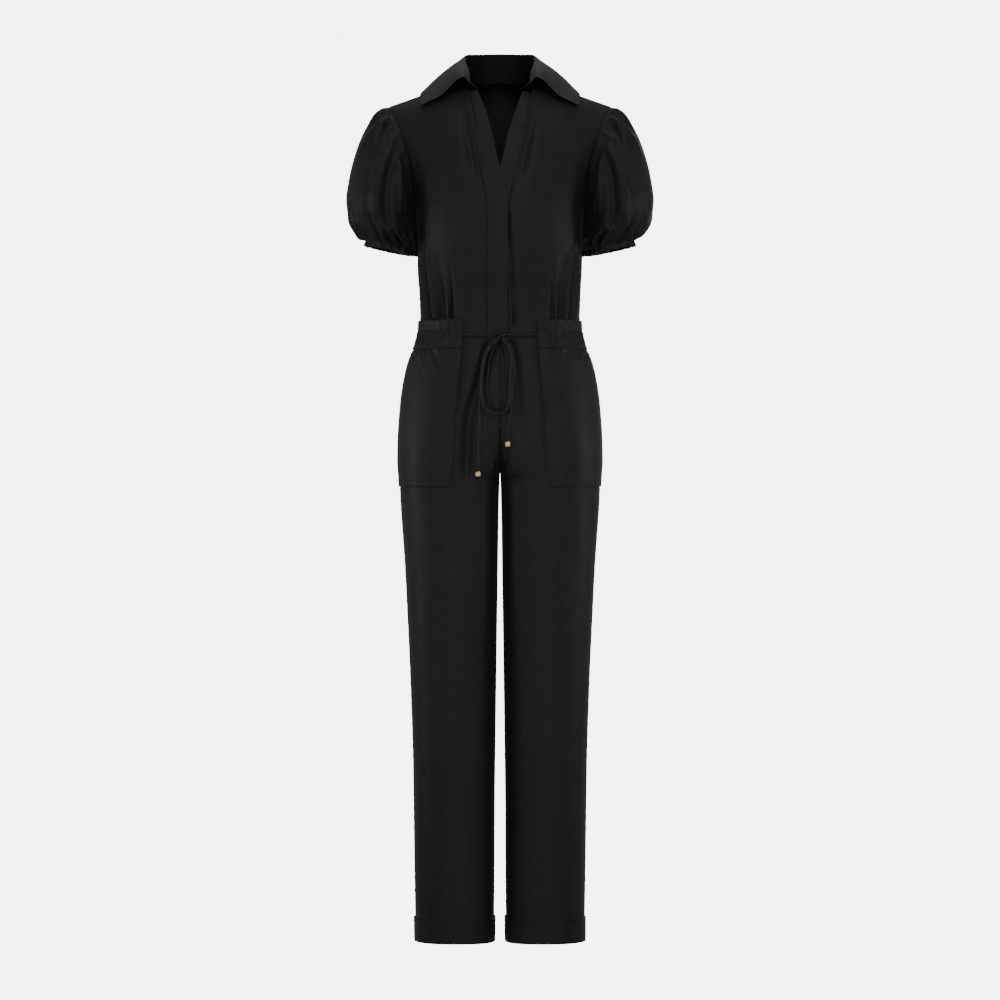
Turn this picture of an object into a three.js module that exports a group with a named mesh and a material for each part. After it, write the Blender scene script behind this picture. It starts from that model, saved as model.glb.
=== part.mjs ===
// A woman's jumpsuit with a shirt collar, concealed front band, short puff sleeves, an elastic
// waistband with a tied cord, patch pockets and narrow turned-up legs, filled out with no wearer.
// Millimetres, +Z up, the front faces -Y, the wearer's left is +X. The origin is where the
// shoulders carry the garment: mid-depth, on the centre line, level with the neck points.
import * as THREE from 'three';

// Driving dimensions
const cloth = 1.6;            // thickness of one wall of cloth
const seamGap = 0.4;          // clear gap between two pieces at a seam
const underarmHeight = -200;  // level of the underarm points
const waistHeight = -418;     // seam between bodice and trousers
const crotchHeight = -652;    // where the legs part
const riseStart = -552;       // where the centre seams begin to curve under
const hipStart = -440;        // where the hips begin to part into two legs
const hemHeight = -1419.5;    // lower edge of the leg panels inside the cuffs
const cuffBottom = -1421;     // folded lower edge of the cuffs
const cuffTop = -1381;        // upper edge of the cuffs at the side seams
const cuffSag = 6;            // how far that edge dips at the middle of a leg
const ovalPower = 2.3;        // how square the body's cross-sections are

const fabric = (colour) => new THREE.MeshStandardMaterial({ color: colour, roughness: 0.72, metalness: 0 });
const bodyCloth = fabric(0x1c1c1d);
const collarCloth = fabric(0x222223);
const cordCloth = fabric(0x242425);
const gold = new THREE.MeshStandardMaterial({ color: 0xd8b878, roughness: 0.28, metalness: 1 });

const jumpsuit = new THREE.Group();

// Interpolation in a table with named columns, smooth and without overshoot
function column(rows, key, name) {
  const sorted = [...rows].sort((a, b) => a[key] - b[key]);
  const at = sorted.map((row) => row[key]);
  const value = sorted.map((row) => row[name]);
  const last = at.length - 1;
  const chord = at.slice(1).map((x, i) => (value[i + 1] - value[i]) / (x - at[i]));
  const slope = value.map((_, i) => {
    if (i === 0) return chord[0];
    if (i === last) return chord[last - 1];
    if (chord[i - 1] * chord[i] <= 0) return 0;
    return (2 * chord[i - 1] * chord[i]) / (chord[i - 1] + chord[i]);
  });
  return (x) => {
    if (x <= at[0]) return value[0];
    if (x >= at[last]) return value[last];
    const i = at.findIndex((start, k) => x >= start && x <= at[k + 1]);
    const span = at[i + 1] - at[i];
    const t = (x - at[i]) / span;
    const a = value[i] * (1 + 2 * t) * (1 - t) ** 2 + slope[i] * span * t * (1 - t) ** 2;
    const b = value[i + 1] * t * t * (3 - 2 * t) - slope[i + 1] * span * t * t * (1 - t);
    return a + b;
  };
}
const lerp = (a, b, t) => a + (b - a) * t;
const ramp = (a, b, x) => {
  const t = Math.min(1, Math.max(0, (x - a) / (b - a)));
  return t * t * (3 - 2 * t);
};
const steps = (count, from = 0, to = 1) =>
  Array.from({ length: count + 1 }, (_, i) => lerp(from, to, i / count));

// Torso below the underarm and the hips: half width and depth of the oval, front and back
const torsoRows = [
  { z: -200, half: 142.5, front: 111, back: 99 },
  { z: -208, half: 139.6, front: 112, back: 98 },
  { z: -240, half: 138.2, front: 114, back: 95 },
  { z: -309, half: 136.0, front: 106, back: 87 },
  { z: -350, half: 134.0, front: 97, back: 81 },
  { z: -395, half: 132.6, front: 90, back: 78 },
  { z: -418, half: 134.0, front: 89, back: 79 },
  { z: -442, half: 142.5, front: 93, back: 86 },
  { z: -458, half: 149.5, front: 96, back: 92 },
  { z: -475, half: 154.4, front: 98, back: 98 },
  { z: -500, half: 159.5, front: 101, back: 105 },
  { z: -530, half: 163.6, front: 103, back: 112 },
  { z: -590, half: 167.8, front: 104, back: 117 },
  { z: -624, half: 168.5, front: 103, back: 116 },
  { z: -652, half: 166.8, front: 100, back: 112 },
];
const torsoHalf = column(torsoRows, 'z', 'half');
const torsoFront = column(torsoRows, 'z', 'front');
const torsoBack = column(torsoRows, 'z', 'back');

// Legs: outer and inner edge and depth of each leg's oval
const legRows = [
  { z: -652, outer: 166.8, inner: 0.5, front: 100, back: 112 },
  { z: -691, outer: 165.4, inner: 1.6, front: 97, back: 105 },
  { z: -724, outer: 163.3, inner: 2.4, front: 95, back: 101 },
  { z: -790, outer: 158.5, inner: 3.2, front: 91, back: 95 },
  { z: -857, outer: 155.0, inner: 4.2, front: 88, back: 91 },
  { z: -989, outer: 148.9, inner: 5.8, front: 83, back: 85 },
  { z: -1122, outer: 144.6, inner: 7.3, front: 79, back: 81 },
  { z: -1255, outer: 142.8, inner: 8.6, front: 76, back: 78 },
  { z: -1421, outer: 140.2, inner: 10.0, front: 74, back: 76 },
];
const legOuter = column(legRows, 'z', 'outer');
const legInner = column(legRows, 'z', 'inner');
const legFront = column(legRows, 'z', 'front');
const legBack = column(legRows, 'z', 'back');

// Chest and upper back from the shoulder seam, station 0, to the underarm, station 1
const chestRows = [
  { station: 0, front: 0, back: 0 },
  { station: 0.05, front: 11, back: 22 },
  { station: 0.1, front: 22, back: 44 },
  { station: 0.17, front: 37, back: 66 },
  { station: 0.25, front: 54, back: 80 },
  { station: 0.35, front: 71, back: 90 },
  { station: 0.5, front: 88, back: 97 },
  { station: 0.7, front: 101, back: 100.5 },
  { station: 0.85, front: 107.5, back: 100.5 },
  { station: 1, front: 111, back: 99 },
];
const chestFront = column(chestRows, 'station', 'front');
const chestBack = column(chestRows, 'station', 'back');
const shoulderPeak = 27;      // height that the shoulder seams would reach on the centre line
const shoulderTip = { x: 184, z: -38 };
const underarm = { x: 142.5, z: underarmHeight };
const armholeDepth = { front: 54, back: 57 };
const armholeScoop = { front: 11, back: 5 };

// Armhole seam from the shoulder tip, station 0, to the underarm, station 1
function armhole(face, station) {
  const turn = Math.PI * station;
  const side = face < 0 ? 'front' : 'back';
  const along = (1 + Math.cos(turn)) / 2;
  return {
    x: lerp(underarm.x, shoulderTip.x, along) - armholeScoop[side] * Math.sin(turn) ** 2,
    y: face * armholeDepth[side] * Math.sin(turn),
    z: lerp(underarm.z, shoulderTip.z, along),
  };
}

// Bodice surface: stations 0 to 1 above the underarm and 1 to 2 down to the waist seam
function bodice(face, station, x) {
  const upper = station < 1;
  const level = lerp(underarmHeight, waistHeight, station - 1);
  const edge = upper ? armhole(face, station) : { x: torsoHalf(level), y: 0, z: level };
  const depth = face < 0 ? (upper ? chestFront(station) : torsoFront(level))
    : (upper ? chestBack(station) : torsoBack(level));
  const centreZ = upper ? lerp(underarmHeight, shoulderPeak, (1 + Math.cos(Math.PI * station)) / 2) : level;
  const across = Math.min(1, Math.abs(x) / edge.x);
  const round = lerp(1, ovalPower, ramp(0.45, 1, station));
  const swell = (1 - across ** ovalPower) ** (1 / round);
  return [x, edge.y + (face * depth - edge.y) * swell, lerp(centreZ, edge.z, across)];
}

// Trouser surface from the centre seam or inseam, turn 0, to the side seam, turn 1
function trouser(face, z, turn) {
  const split = z < crotchHeight;
  const outer = split ? legOuter(z) : torsoHalf(z);
  const centreGap = lerp(seamGap / 2, legInner(crotchHeight), ramp(riseStart, crotchHeight, z));
  const inner = split ? legInner(z) : centreGap;
  const front = split ? legFront(z) : torsoFront(z);
  const back = split ? legBack(z) : torsoBack(z);
  const depth = face < 0 ? front : back;
  const middle = (inner + outer) / 2;
  const reach = (outer - inner) / 2;
  const x = middle - reach * Math.cos(Math.PI * turn);
  const fall = Math.min(1, Math.max(0, (riseStart - z) / (riseStart - crotchHeight)));
  const under = 1 - Math.sqrt(Math.max(0, 1 - fall * fall));
  const hips = Math.max(0, 1 - (x / outer) ** ovalPower) ** (1 / ovalPower);
  const leg = Math.max(0, 1 - Math.abs((x - middle) / reach) ** ovalPower) ** (1 / ovalPower);
  const share = leg < hips ? under : ramp(hipStart, crotchHeight, z);
  return [x, face * depth * lerp(hips, leg, share), z];
}
// Depth of the front surface at a place given by x and z
function frontDepth(x, z) {
  if (z > waistHeight) return bodice(-1, 1 + (underarmHeight - z) / (underarmHeight - waistHeight), x)[1];
  const outer = z < crotchHeight ? legOuter(z) : torsoHalf(z);
  const inner = z < crotchHeight ? legInner(z) : 0;
  const share = Math.min(1, Math.max(-1, (2 * (Math.abs(x) - inner)) / (outer - inner) - 1));
  return trouser(-1, z, Math.acos(-share) / Math.PI)[1];
}

// Grids of points become walls: the outer points are moved in by the cloth's thickness
const minus = (a, b) => [a[0] - b[0], a[1] - b[1], a[2] - b[2]];
const cross = (a, b) => [a[1] * b[2] - a[2] * b[1], a[2] * b[0] - a[0] * b[2], a[0] * b[1] - a[1] * b[0]];
const unit = (a) => { const length = Math.hypot(...a) || 1; return a.map((v) => v / length); };
const moved = (point, direction, distance) => point.map((v, i) => v + direction[i] * distance);
const mirrored = (grid) => grid.map((row) => row.map(([x, y, z]) => [-x, y, z]).reverse());

// A seam gives the axis that the normals of a seam's points have no share of, so the edge is flat
function normals(grid, ring, seam = () => -1) {
  const lastRow = grid.length - 1;
  return grid.map((row, i) => row.map((_, j) => {
    const count = row.length;
    const before = ring ? (j + count - 1) % count : Math.max(0, j - 1);
    const after = ring ? (j + 1) % count : Math.min(count - 1, j + 1);
    const across = minus(row[after], row[before]);
    const down = minus(grid[Math.min(lastRow, i + 1)][j], grid[Math.max(0, i - 1)][j]);
    const free = seam(i, j);
    return unit(cross(down, across).map((v, axis) => (axis === free ? 0 : v)));
  }));
}
// Rows run downwards and columns anticlockwise seen from above, so the normals point outwards
function shifted(grid, distance, ring = false, seam = undefined) {
  const out = normals(grid, ring, seam);
  return grid.map((row, i) => row.map((point, j) => moved(point, out[i][j], distance)));
}
function wall(grid, { ring = false, seam = undefined } = {}) {
  const inner = shifted(grid, -cloth, ring, seam);
  const rows = grid.length;
  const columns = grid[0].length;
  const points = [...grid.flat(), ...inner.flat()];
  const outside = (i, j) => i * columns + (j % columns);
  const inside = (i, j) => rows * columns + outside(i, j);
  const faces = [];
  const quad = (a, b, c, d) => faces.push(a, b, c, a, c, d);
  const spans = ring ? columns : columns - 1;
  for (let i = 0; i < rows - 1; i++) {
    for (let j = 0; j < spans; j++) {
      quad(outside(i, j), outside(i + 1, j), outside(i + 1, j + 1), outside(i, j + 1));
      quad(inside(i, j), inside(i, j + 1), inside(i + 1, j + 1), inside(i + 1, j));
    }
  }
  for (let j = 0; j < spans; j++) {
    quad(outside(0, j), outside(0, j + 1), inside(0, j + 1), inside(0, j));
    quad(outside(rows - 1, j + 1), outside(rows - 1, j), inside(rows - 1, j), inside(rows - 1, j + 1));
  }
  for (let i = 0; i < rows - 1 && !ring; i++) {
    quad(outside(i + 1, 0), outside(i, 0), inside(i, 0), inside(i + 1, 0));
    const last = columns - 1;
    quad(outside(i, last), outside(i + 1, last), inside(i + 1, last), inside(i, last));
  }
  const geometry = new THREE.BufferGeometry();
  geometry.setAttribute('position', new THREE.Float32BufferAttribute(points.flat(), 3));
  geometry.setIndex(faces);
  geometry.computeVertexNormals();
  return geometry;
}
function add(name, geometry, material) {
  const mesh = new THREE.Mesh(geometry, material);
  mesh.name = name;
  jumpsuit.add(mesh);
}
// A piece and its mirror image: the grid given lies on the wearer's left
function addPair(name, grid, { ring = false, seam = () => -1 } = {}) {
  const last = grid[0].length - 1;
  add(`${name}_left`, wall(grid, { ring, seam }), bodyCloth);
  add(`${name}_right`, wall(mirrored(grid), { ring, seam: (i, j) => seam(i, last - j) }), bodyCloth);
}

// Folds of the bodice above the waistband: troughs that fade upwards and lean with height
const frontFolds = [
  { waist: 128, top: 132, fade: -215, width: 4.5, depth: 4 },
  { waist: 117, top: 131, fade: -235, width: 5, depth: 6 },
  { waist: 99, top: 108, fade: -255, width: 6, depth: 5.5 },
  { waist: 86, top: 90, fade: -275, width: 5, depth: 5 },
  { waist: 62, top: 64, fade: -320, width: 7, depth: 1.6 },
];
const foldFoot = -395;        // level up to which the folds have their full depth
function bodiceFold(folds, x, z) {
  let sum = 0;
  for (const fold of folds) {
    const rise = Math.min(1, Math.max(0, (z - foldFoot) / (fold.fade - foldFoot)));
    const centre = lerp(fold.waist, fold.top, rise);
    sum -= fold.depth * (1 - ramp(0, 1, rise)) * Math.exp(-(((Math.abs(x) - centre) / fold.width) ** 2));
  }
  return sum;
}

// Edges of the front openings: outer seam and inner edge of each band, by height
const bandRows = [
  { z: 5, overSeam: 62, overEdge: 50, underSeam: 62, underEdge: 50 },
  { z: -24, overSeam: 49, overEdge: 34, underSeam: 50, underEdge: 34.5 },
  { z: -54, overSeam: 42.5, overEdge: 22, underSeam: 46, underEdge: 24 },
  { z: -86, overSeam: 37.5, overEdge: 13, underSeam: 40.5, underEdge: 13.2 },
  { z: -122, overSeam: 35.5, overEdge: 5.6, underSeam: 33.6, underEdge: 5.2 },
  { z: -140, overSeam: 33.5, overEdge: 1.2, underSeam: 30, underEdge: 0.8 },
  { z: -156, overSeam: 30, overEdge: -4.2, underSeam: 25.6, underEdge: -4.2 },
  { z: -180, overSeam: 24, overEdge: -9.6, underSeam: 20, underEdge: -9.5 },
  { z: -207, overSeam: 20.3, overEdge: -11.6, underSeam: 14.5, underEdge: -14 },
  { z: -260, overSeam: 20.3, overEdge: -11.6, underSeam: 13.5, underEdge: -15.5 },
  { z: -420, overSeam: 20.3, overEdge: -11.6, underSeam: 13.5, underEdge: -15.5 },
];
const band = (name) => column(bandRows, 'z', name);
const overSeam = band('overSeam');
const overEdge = band('overEdge');
const underSeam = band('underSeam');
const underEdge = band('underEdge');
const overLift = 2.3;         // how far the upper band stands off the lower one
const bandTuck = 1.5;         // how far the panel beside it reaches in under its edge

const edgeAt = (edge, station) => {
  let x = edge(0);
  for (let i = 0; i < 6; i++) x = edge(bodice(-1, station, x)[2]);
  return x;
};
const neckStation = 0.262;    // station at which the neckline ends on the front bands
const frontStations = [0, 0.06, 0.13, 0.2, neckStation, 0.35, 0.46, 0.58, 0.7, 0.82, 0.92, ...steps(9, 1, 2)];
const around = (u) => Math.sin((u * Math.PI) / 2) ** (2 / ovalPower);
const unaround = (t) => Math.asin(t ** (ovalPower / 2)) / (Math.PI / 2);

// Front panels: each row runs from the band's seam to the armhole or side seam
function frontPanel(innerEdge, count) {
  return frontStations.map((station) => {
    const edge = station < 1 ? armhole(-1, station).x : torsoHalf(bodice(-1, station, 0)[2]);
    const start = unaround(edgeAt(innerEdge, station) / edge);
    return steps(count).map((t) => {
      const share = around(lerp(start, 1, t));
      const [x, y, z] = bodice(-1, station, share * edge);
      const inward = bodiceFold(frontFolds, x, z);
      const clear = station < 1 ? seamGap * t : 0;
      const drop = station === 0 ? -seamGap : 0;
      const rise = station === 2 ? seamGap / 2 : 0;
      return [x - clear + inward * share ** 6, y - seamGap / 2 - inward * (1 - share ** 6), z + drop + rise];
    });
  });
}
const frontColumns = 10;
const leftPanel = frontPanel((z) => underSeam(z) + seamGap, frontColumns);
const rightPanel = frontPanel((z) => overSeam(z) - bandTuck, frontColumns);
const shoulderAndSide = (i, j) => (i === 0 || (j === frontColumns && frontStations[i] >= 1) ? 1 : -1);
add('bodice_front_left', wall(leftPanel, { seam: shoulderAndSide }), bodyCloth);
const otherSide = (i, j) => shoulderAndSide(i, frontColumns - j);
add('bodice_front_right', wall(mirrored(rightPanel), { seam: otherSide }), bodyCloth);

// Front bands from the neckline to the waist seam
const bandStations = frontStations.filter((station) => station >= neckStation);
const bandRow = (station, from, to, count) => steps(count).map((t) => {
  const x = lerp(from, to, t);
  const [, y, z] = bodice(-1, station, x);
  return [x, y - seamGap / 2, z + (station === 2 ? seamGap / 2 : 0)];
});
const overBand = bandStations.map((station) => bandRow(station,
  -edgeAt(overSeam, station), -edgeAt(overEdge, station), 2));
const underBand = bandStations.map((station) => bandRow(station,
  edgeAt(underEdge, station), edgeAt(underSeam, station), 2));
add('front_band_over', wall(shifted(overBand, overLift)), bodyCloth);
add('front_band_under', wall(underBand), bodyCloth);

// Back panel: each column starts on the shoulder seam or the back neckline
const neckHalf = 62;          // half width of the neckline at the shoulder seams
const backNeckStation = 0.168;
const backNeck = (x) => backNeckStation * (1 - Math.min(1, Math.abs(x) / neckHalf) ** 2.4) ** (1 / 1.7);
const backColumns = [-1, -0.92, -0.82, -0.7, -0.57, -0.46, -0.38, -0.33, -0.25, -0.13, 0];
const backAcross = [...backColumns, ...backColumns.slice(0, -1).reverse().map((v) => -v)];
const backRows = [0, 0.03, 0.07, 0.12, 0.19, 0.28, 0.38, 0.5, 0.58, 0.66, 0.74, 0.82, 0.88, 0.94, 1];
const backFolds = [
  { waist: 122, top: 128, fade: -240, width: 5, depth: 5 },
  { waist: 103, top: 112, fade: -270, width: 6, depth: 4.5 },
  { waist: 84, top: 90, fade: -290, width: 5.5, depth: 4 },
  { waist: 58, top: 62, fade: -305, width: 7, depth: 3.5 },
  { waist: 30, top: 32, fade: -315, width: 7, depth: 3 },
];
const backPanel = backRows.map((down) => backAcross.map((across) => {
  const share = Math.abs(across);
  const edgeGuess = share * shoulderTip.x;
  const first = edgeGuess < neckHalf ? backNeck(edgeGuess) : 0;
  const station = lerp(first, 2, down);
  const edge = station < 1 ? armhole(1, station).x : torsoHalf(bodice(1, station, 0)[2]);
  const [x, y, z] = bodice(1, station, across * edge);
  const inward = bodiceFold(backFolds, x, z);
  const clear = station < 1 ? seamGap * share : 0;
  const rise = down === 1 ? seamGap / 2 : 0;
  const drop = first === 0 && down === 0 ? -seamGap : 0;
  const sideways = Math.sign(across) * (inward * share ** 6 - clear);
  return [x + sideways, y + seamGap / 2 + inward * (1 - share ** 6), z + rise + drop];
}).reverse());
const backEdge = (i, j) => {
  const share = Math.abs(backAcross[backAcross.length - 1 - j]);
  const onSide = share === 1 && backRows[i] >= 0.5;
  return onSide || (i === 0 && share * shoulderTip.x >= neckHalf) ? 1 : -1;
};
add('bodice_back', wall(backPanel, { seam: backEdge }), bodyCloth);

// Neckline from the centre back, place 0, past the neck point, 0.5, to the front end, 1
function neckline(place) {
  if (place < 0.5) {
    const x = neckHalf * Math.sin(place * Math.PI);
    return bodice(1, backNeck(x), x);
  }
  const station = neckStation * (2 * place - 1);
  return bodice(-1, station, edgeAt(overSeam, station) + lerp(0, -4, 2 * place - 1));
}
// Roll line of the collar and the place on the bodice over which its outer edge lies
const collarRows = [
  { place: 0, rollX: 0, rollY: 70, rollZ: 55, station: 0.22, edgeX: 0, lift: 8 },
  { place: 0.14, rollX: 30, rollY: 64.5, rollZ: 54, station: 0.215, edgeX: 34, lift: 8 },
  { place: 0.3, rollX: 51, rollY: 43, rollZ: 51.5, station: 0.185, edgeX: 68, lift: 6 },
  { place: 0.45, rollX: 57.5, rollY: 18, rollZ: 46, station: 0.1, edgeX: 97, lift: 4 },
  { place: 0.6, rollX: 56.5, rollY: -8, rollZ: 36, station: -0.01, edgeX: 119, lift: 3 },
  { place: 0.75, rollX: 53, rollY: -31, rollZ: 21, station: -0.11, edgeX: 130, lift: 3 },
  { place: 0.88, rollX: 49, rollY: -46, rollZ: 8, station: -0.18, edgeX: 131, lift: 4 },
  { place: 1, rollX: 45, rollY: -56, rollZ: -4, station: -0.235, edgeX: 127.5, lift: 5 },
];
const rollX = column(collarRows, 'place', 'rollX');
const rollY = column(collarRows, 'place', 'rollY');
const rollZ = column(collarRows, 'place', 'rollZ');
const collarStation = column(collarRows, 'place', 'station');
const collarEdgeX = column(collarRows, 'place', 'edgeX');
const collarLift = column(collarRows, 'place', 'lift');
// Edge of the fall, laid on the shoulders and lifted off them; stations below 0 are in front
function collarEdge(p) {
  const face = collarStation(p) < 0 ? -1 : 1;
  const station = Math.abs(collarStation(p));
  const x = collarEdgeX(p);
  const here = bodice(face, station, x);
  const acrossIt = minus(bodice(face, station, x + 1), here);
  const downIt = minus(bodice(face, station + 0.02, x), here);
  return moved(here, unit(cross(downIt, acrossIt).map((v) => -face * v)), collarLift(p));
}
const collarPlaces = steps(16, -1, 1);
const fallBow = { back: 5, front: 13 };
const standLift = 1.2;        // how far the collar stands off the neckline
const fallLift = 2.3;         // how far the fall stands off the stand at the roll line
const signed = (place, point) => [place < 0 ? -point[0] : point[0], point[1], point[2]];
function stand(place, up) {
  const p = Math.abs(place);
  const [x, y, z] = neckline(p);
  return signed(place, [lerp(x, rollX(p), up), lerp(y, rollY(p), up), lerp(z + standLift, rollZ(p), up)]);
}
function fall(place, down) {
  const p = Math.abs(place);
  const bow = lerp(fallBow.back, fallBow.front, ramp(0.3, 1, p)) * Math.sin(Math.PI * down ** 0.8);
  const roll = [rollX(p), rollY(p), rollZ(p)];
  const edge = collarEdge(p);
  const [awayX, awayY] = unit([edge[0] - roll[0], edge[1] - roll[1], 0]);
  const push = [awayX * bow * 0.5, awayY * bow * 0.5, bow * 0.8];
  return signed(place, roll.map((v, i) => lerp(v, edge[i], down) + push[i]));
}
const collarColumns = collarPlaces.map((place) => Math.sign(place) * Math.abs(place) ** 0.95);
const standGrid = steps(3, 1, 0).map((up) => collarColumns.map((place) => stand(-place, up)));
const fallGrid = steps(5).map((down) => collarColumns.map((place) => fall(-place, down)));
add('collar_stand', wall(standGrid), collarCloth);
add('collar_fall', wall(shifted(fallGrid, fallLift)), collarCloth);

// Sleeves: rings from the armhole to the hem, by the ends of their long axis and their depth
const sleeveRows = [
  { ring: 0, outX: 184, outZ: -38, inX: 142.5, inZ: -200, depth: 55.5 },
  { ring: 1, outX: 205, outZ: -50.5, inX: 144.5, inZ: -205, depth: 64 },
  { ring: 2, outX: 226, outZ: -80, inX: 145.5, inZ: -212, depth: 71 },
  { ring: 3, outX: 241, outZ: -118, inX: 146, inZ: -221, depth: 75 },
  { ring: 4, outX: 250.5, outZ: -156, inX: 146, inZ: -231, depth: 76 },
  { ring: 5, outX: 255.5, outZ: -193, inX: 146, inZ: -242, depth: 74 },
  { ring: 6, outX: 251.5, outZ: -223, inX: 146, inZ: -254, depth: 69 },
  { ring: 7, outX: 239, outZ: -246, inX: 145, inZ: -264, depth: 61 },
  { ring: 8, outX: 223, outZ: -260, inX: 144, inZ: -272, depth: 53 },
];
const ringCount = sleeveRows.length - 1;
const outX = column(sleeveRows, 'ring', 'outX');
const outZ = column(sleeveRows, 'ring', 'outZ');
const inX = column(sleeveRows, 'ring', 'inX');
const inZ = column(sleeveRows, 'ring', 'inZ');
const ringDepth = column(sleeveRows, 'ring', 'depth');
const sleeveGathers = 20;     // pleats and gathers round a sleeve, at its head and its hem
const ripple = { head: 2.2, hem: 2.4, pinch: 1.9 };
const sleeveValley = { turn: 1.75, width: 0.22, depth: 5 };
function sleevePoint(ring, turn) {
  const along = (1 + Math.cos(turn)) / 2;
  const scoop = (turn < Math.PI ? armholeScoop.front : armholeScoop.back) * Math.max(0, 1 - ring / 2);
  const side = turn < Math.PI ? armholeDepth.front : armholeDepth.back;
  const depth = lerp(side, ringDepth(ring), Math.min(1, ring));
  return [
    lerp(inX(ring), outX(ring), along) - scoop * Math.sin(turn) ** 2,
    -depth * Math.sin(turn),
    lerp(inZ(ring), outZ(ring), along),
  ];
}
// How far the gathers move the wall outwards at a place on the sleeve
function gathers(ring, turn) {
  const top = Math.max(0, Math.cos(turn * 0.5) ** 4, Math.cos((2 * Math.PI - turn) * 0.5) ** 4);
  const wave = Math.cos(sleeveGathers * turn);
  const head = ripple.head * top * ramp(0, 0.6, ring) * (1 - ramp(1.2, 3, ring)) * wave;
  const hem = (ripple.hem * ramp(5.2, 7, ring) - ripple.pinch * ramp(7, 8, ring)) * wave;
  const nearness = Math.exp(-(((turn - sleeveValley.turn) / sleeveValley.width) ** 2));
  return head + hem - sleeveValley.depth * nearness * ramp(2, 4, ring) * (1 - ramp(7, 8, ring));
}
const sleeveTurns = 2 * sleeveGathers;
const sleeveRings = [0, 0.6, 1.4, 2.4, 3.6, 4.8, 6, 7, 8];
const turnsOf = (count) => Array.from({ length: count }, (_, j) => (j * 2 * Math.PI) / count);
const hemSeam = (i) => (i === sleeveRings.length - 1 ? 2 : -1);
function sleeveGrid(rings, count, relief) {
  const plain = rings.map((ring) => turnsOf(count).map((turn) => {
    const [x, y, z] = sleevePoint(ring, turn);
    return [x + (ring === 0 ? seamGap : 0), y, z];
  }).reverse());
  const out = normals(plain, true, hemSeam);
  return plain.map((row, i) => row.map((point, j) => {
    const turn = turnsOf(count)[count - 1 - j];
    return moved(point, out[i][j], relief(rings[i], turn));
  }));
}
addPair('sleeve', sleeveGrid(sleeveRings, sleeveTurns, gathers), { ring: true, seam: hemSeam });

// Sleeve hems: a narrow elastic casing with a frilled lower edge
const casingDepth = 9;
const casingTaper = 1.2;      // how far its lower edge draws in
function casingGrid() {
  const count = sleeveTurns;
  return steps(2).map((down) => turnsOf(count).map((turn) => {
    const [x, y, z] = sleevePoint(ringCount, turn);
    const frill = Math.cos(sleeveGathers * turn) * (0.5 + down);
    const middle = (outX(ringCount) + inX(ringCount)) / 2;
    const direction = unit([x - middle, y, 0]);
    const level = z - seamGap - casingDepth * down;
    return [x + direction[0] * frill - casingTaper * down, y + direction[1] * frill, level];
  }).reverse());
}
addPair('sleeve_hem', casingGrid(), { ring: true, seam: () => 2 });

// Trouser panels
const trouserHeights = [waistHeight - seamGap / 2, -442.5, -470, -505, -545, -580, -606, -626, -641,
  crotchHeight, -668, -700, -760, -860, -1000, -1180, -1365, hemHeight];
const trouserColumns = 9;
function trouserPanel(face) {
  return trouserHeights.map((z) => {
    const row = steps(trouserColumns).map((turn) => {
      const [x, y] = trouser(face, z, turn);
      return [x, y + (face * seamGap) / 2, z];
    });
    return face < 0 ? row : row.reverse();
  });
}
const frontLeg = trouserPanel(-1);
const backLeg = trouserPanel(1);
const belowCrotch = (i) => trouserHeights[i] < crotchHeight;
const legSeams = (sideColumn) => (i, j) => {
  const inside = j === trouserColumns - sideColumn;
  return j === sideColumn || (inside && belowCrotch(i)) ? 1 : -1;
};
addPair('trouser_front', frontLeg, { seam: legSeams(trouserColumns) });
addPair('trouser_back', backLeg, { seam: legSeams(0) });

// Patch pockets on the trouser fronts, made of the fronts' own points moved out
const overlay = 2.4;          // distance from a panel's face to the face of what lies on it
const pocketInner = { top: 62, bottom: 82 };
const pocketColumn = 5;       // first of the front's columns that lies wholly under the pocket
const pocketRange = [1, 10];  // rows of the front from the waistband to the pocket's lower edge
const coveringPocket = shifted(frontLeg, overlay).slice(pocketRange[0], pocketRange[1] + 1);
const pocketGrid = coveringPocket.map((row, i) => {
  const [topHeight, bottomHeight] = pocketRange.map((rowIndex) => trouserHeights[rowIndex]);
  const down = (topHeight - trouserHeights[pocketRange[0] + i]) / (topHeight - bottomHeight);
  const inner = lerp(pocketInner.top, pocketInner.bottom, down);
  const j = row.findIndex((point) => point[0] > inner);
  const t = (inner - row[j - 1][0]) / (row[j][0] - row[j - 1][0]);
  const edge = row[j - 1].map((v, axis) => lerp(v, row[j][axis], t));
  return [edge, ...row.slice(pocketColumn)];
});
addPair('pocket', pocketGrid);

// Turned-up cuffs round the legs, on the same columns as the leg panels
const cuffGrid = steps(2).map((down) => {
  const ring = [];
  for (const face of [-1, 1]) {
    const turns = face < 0 ? steps(trouserColumns) : steps(trouserColumns).reverse();
    for (const turn of turns) {
      const top = cuffTop - cuffSag * Math.sin(Math.PI * turn) ** 2;
      const z = lerp(top, cuffBottom, down);
      if (face < 0 || (turn > 0 && turn < 1)) ring.push(trouser(face, z, turn));
    }
  }
  return ring;
});
addPair('cuff', shifted(cuffGrid, overlay, true), { ring: true });

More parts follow.
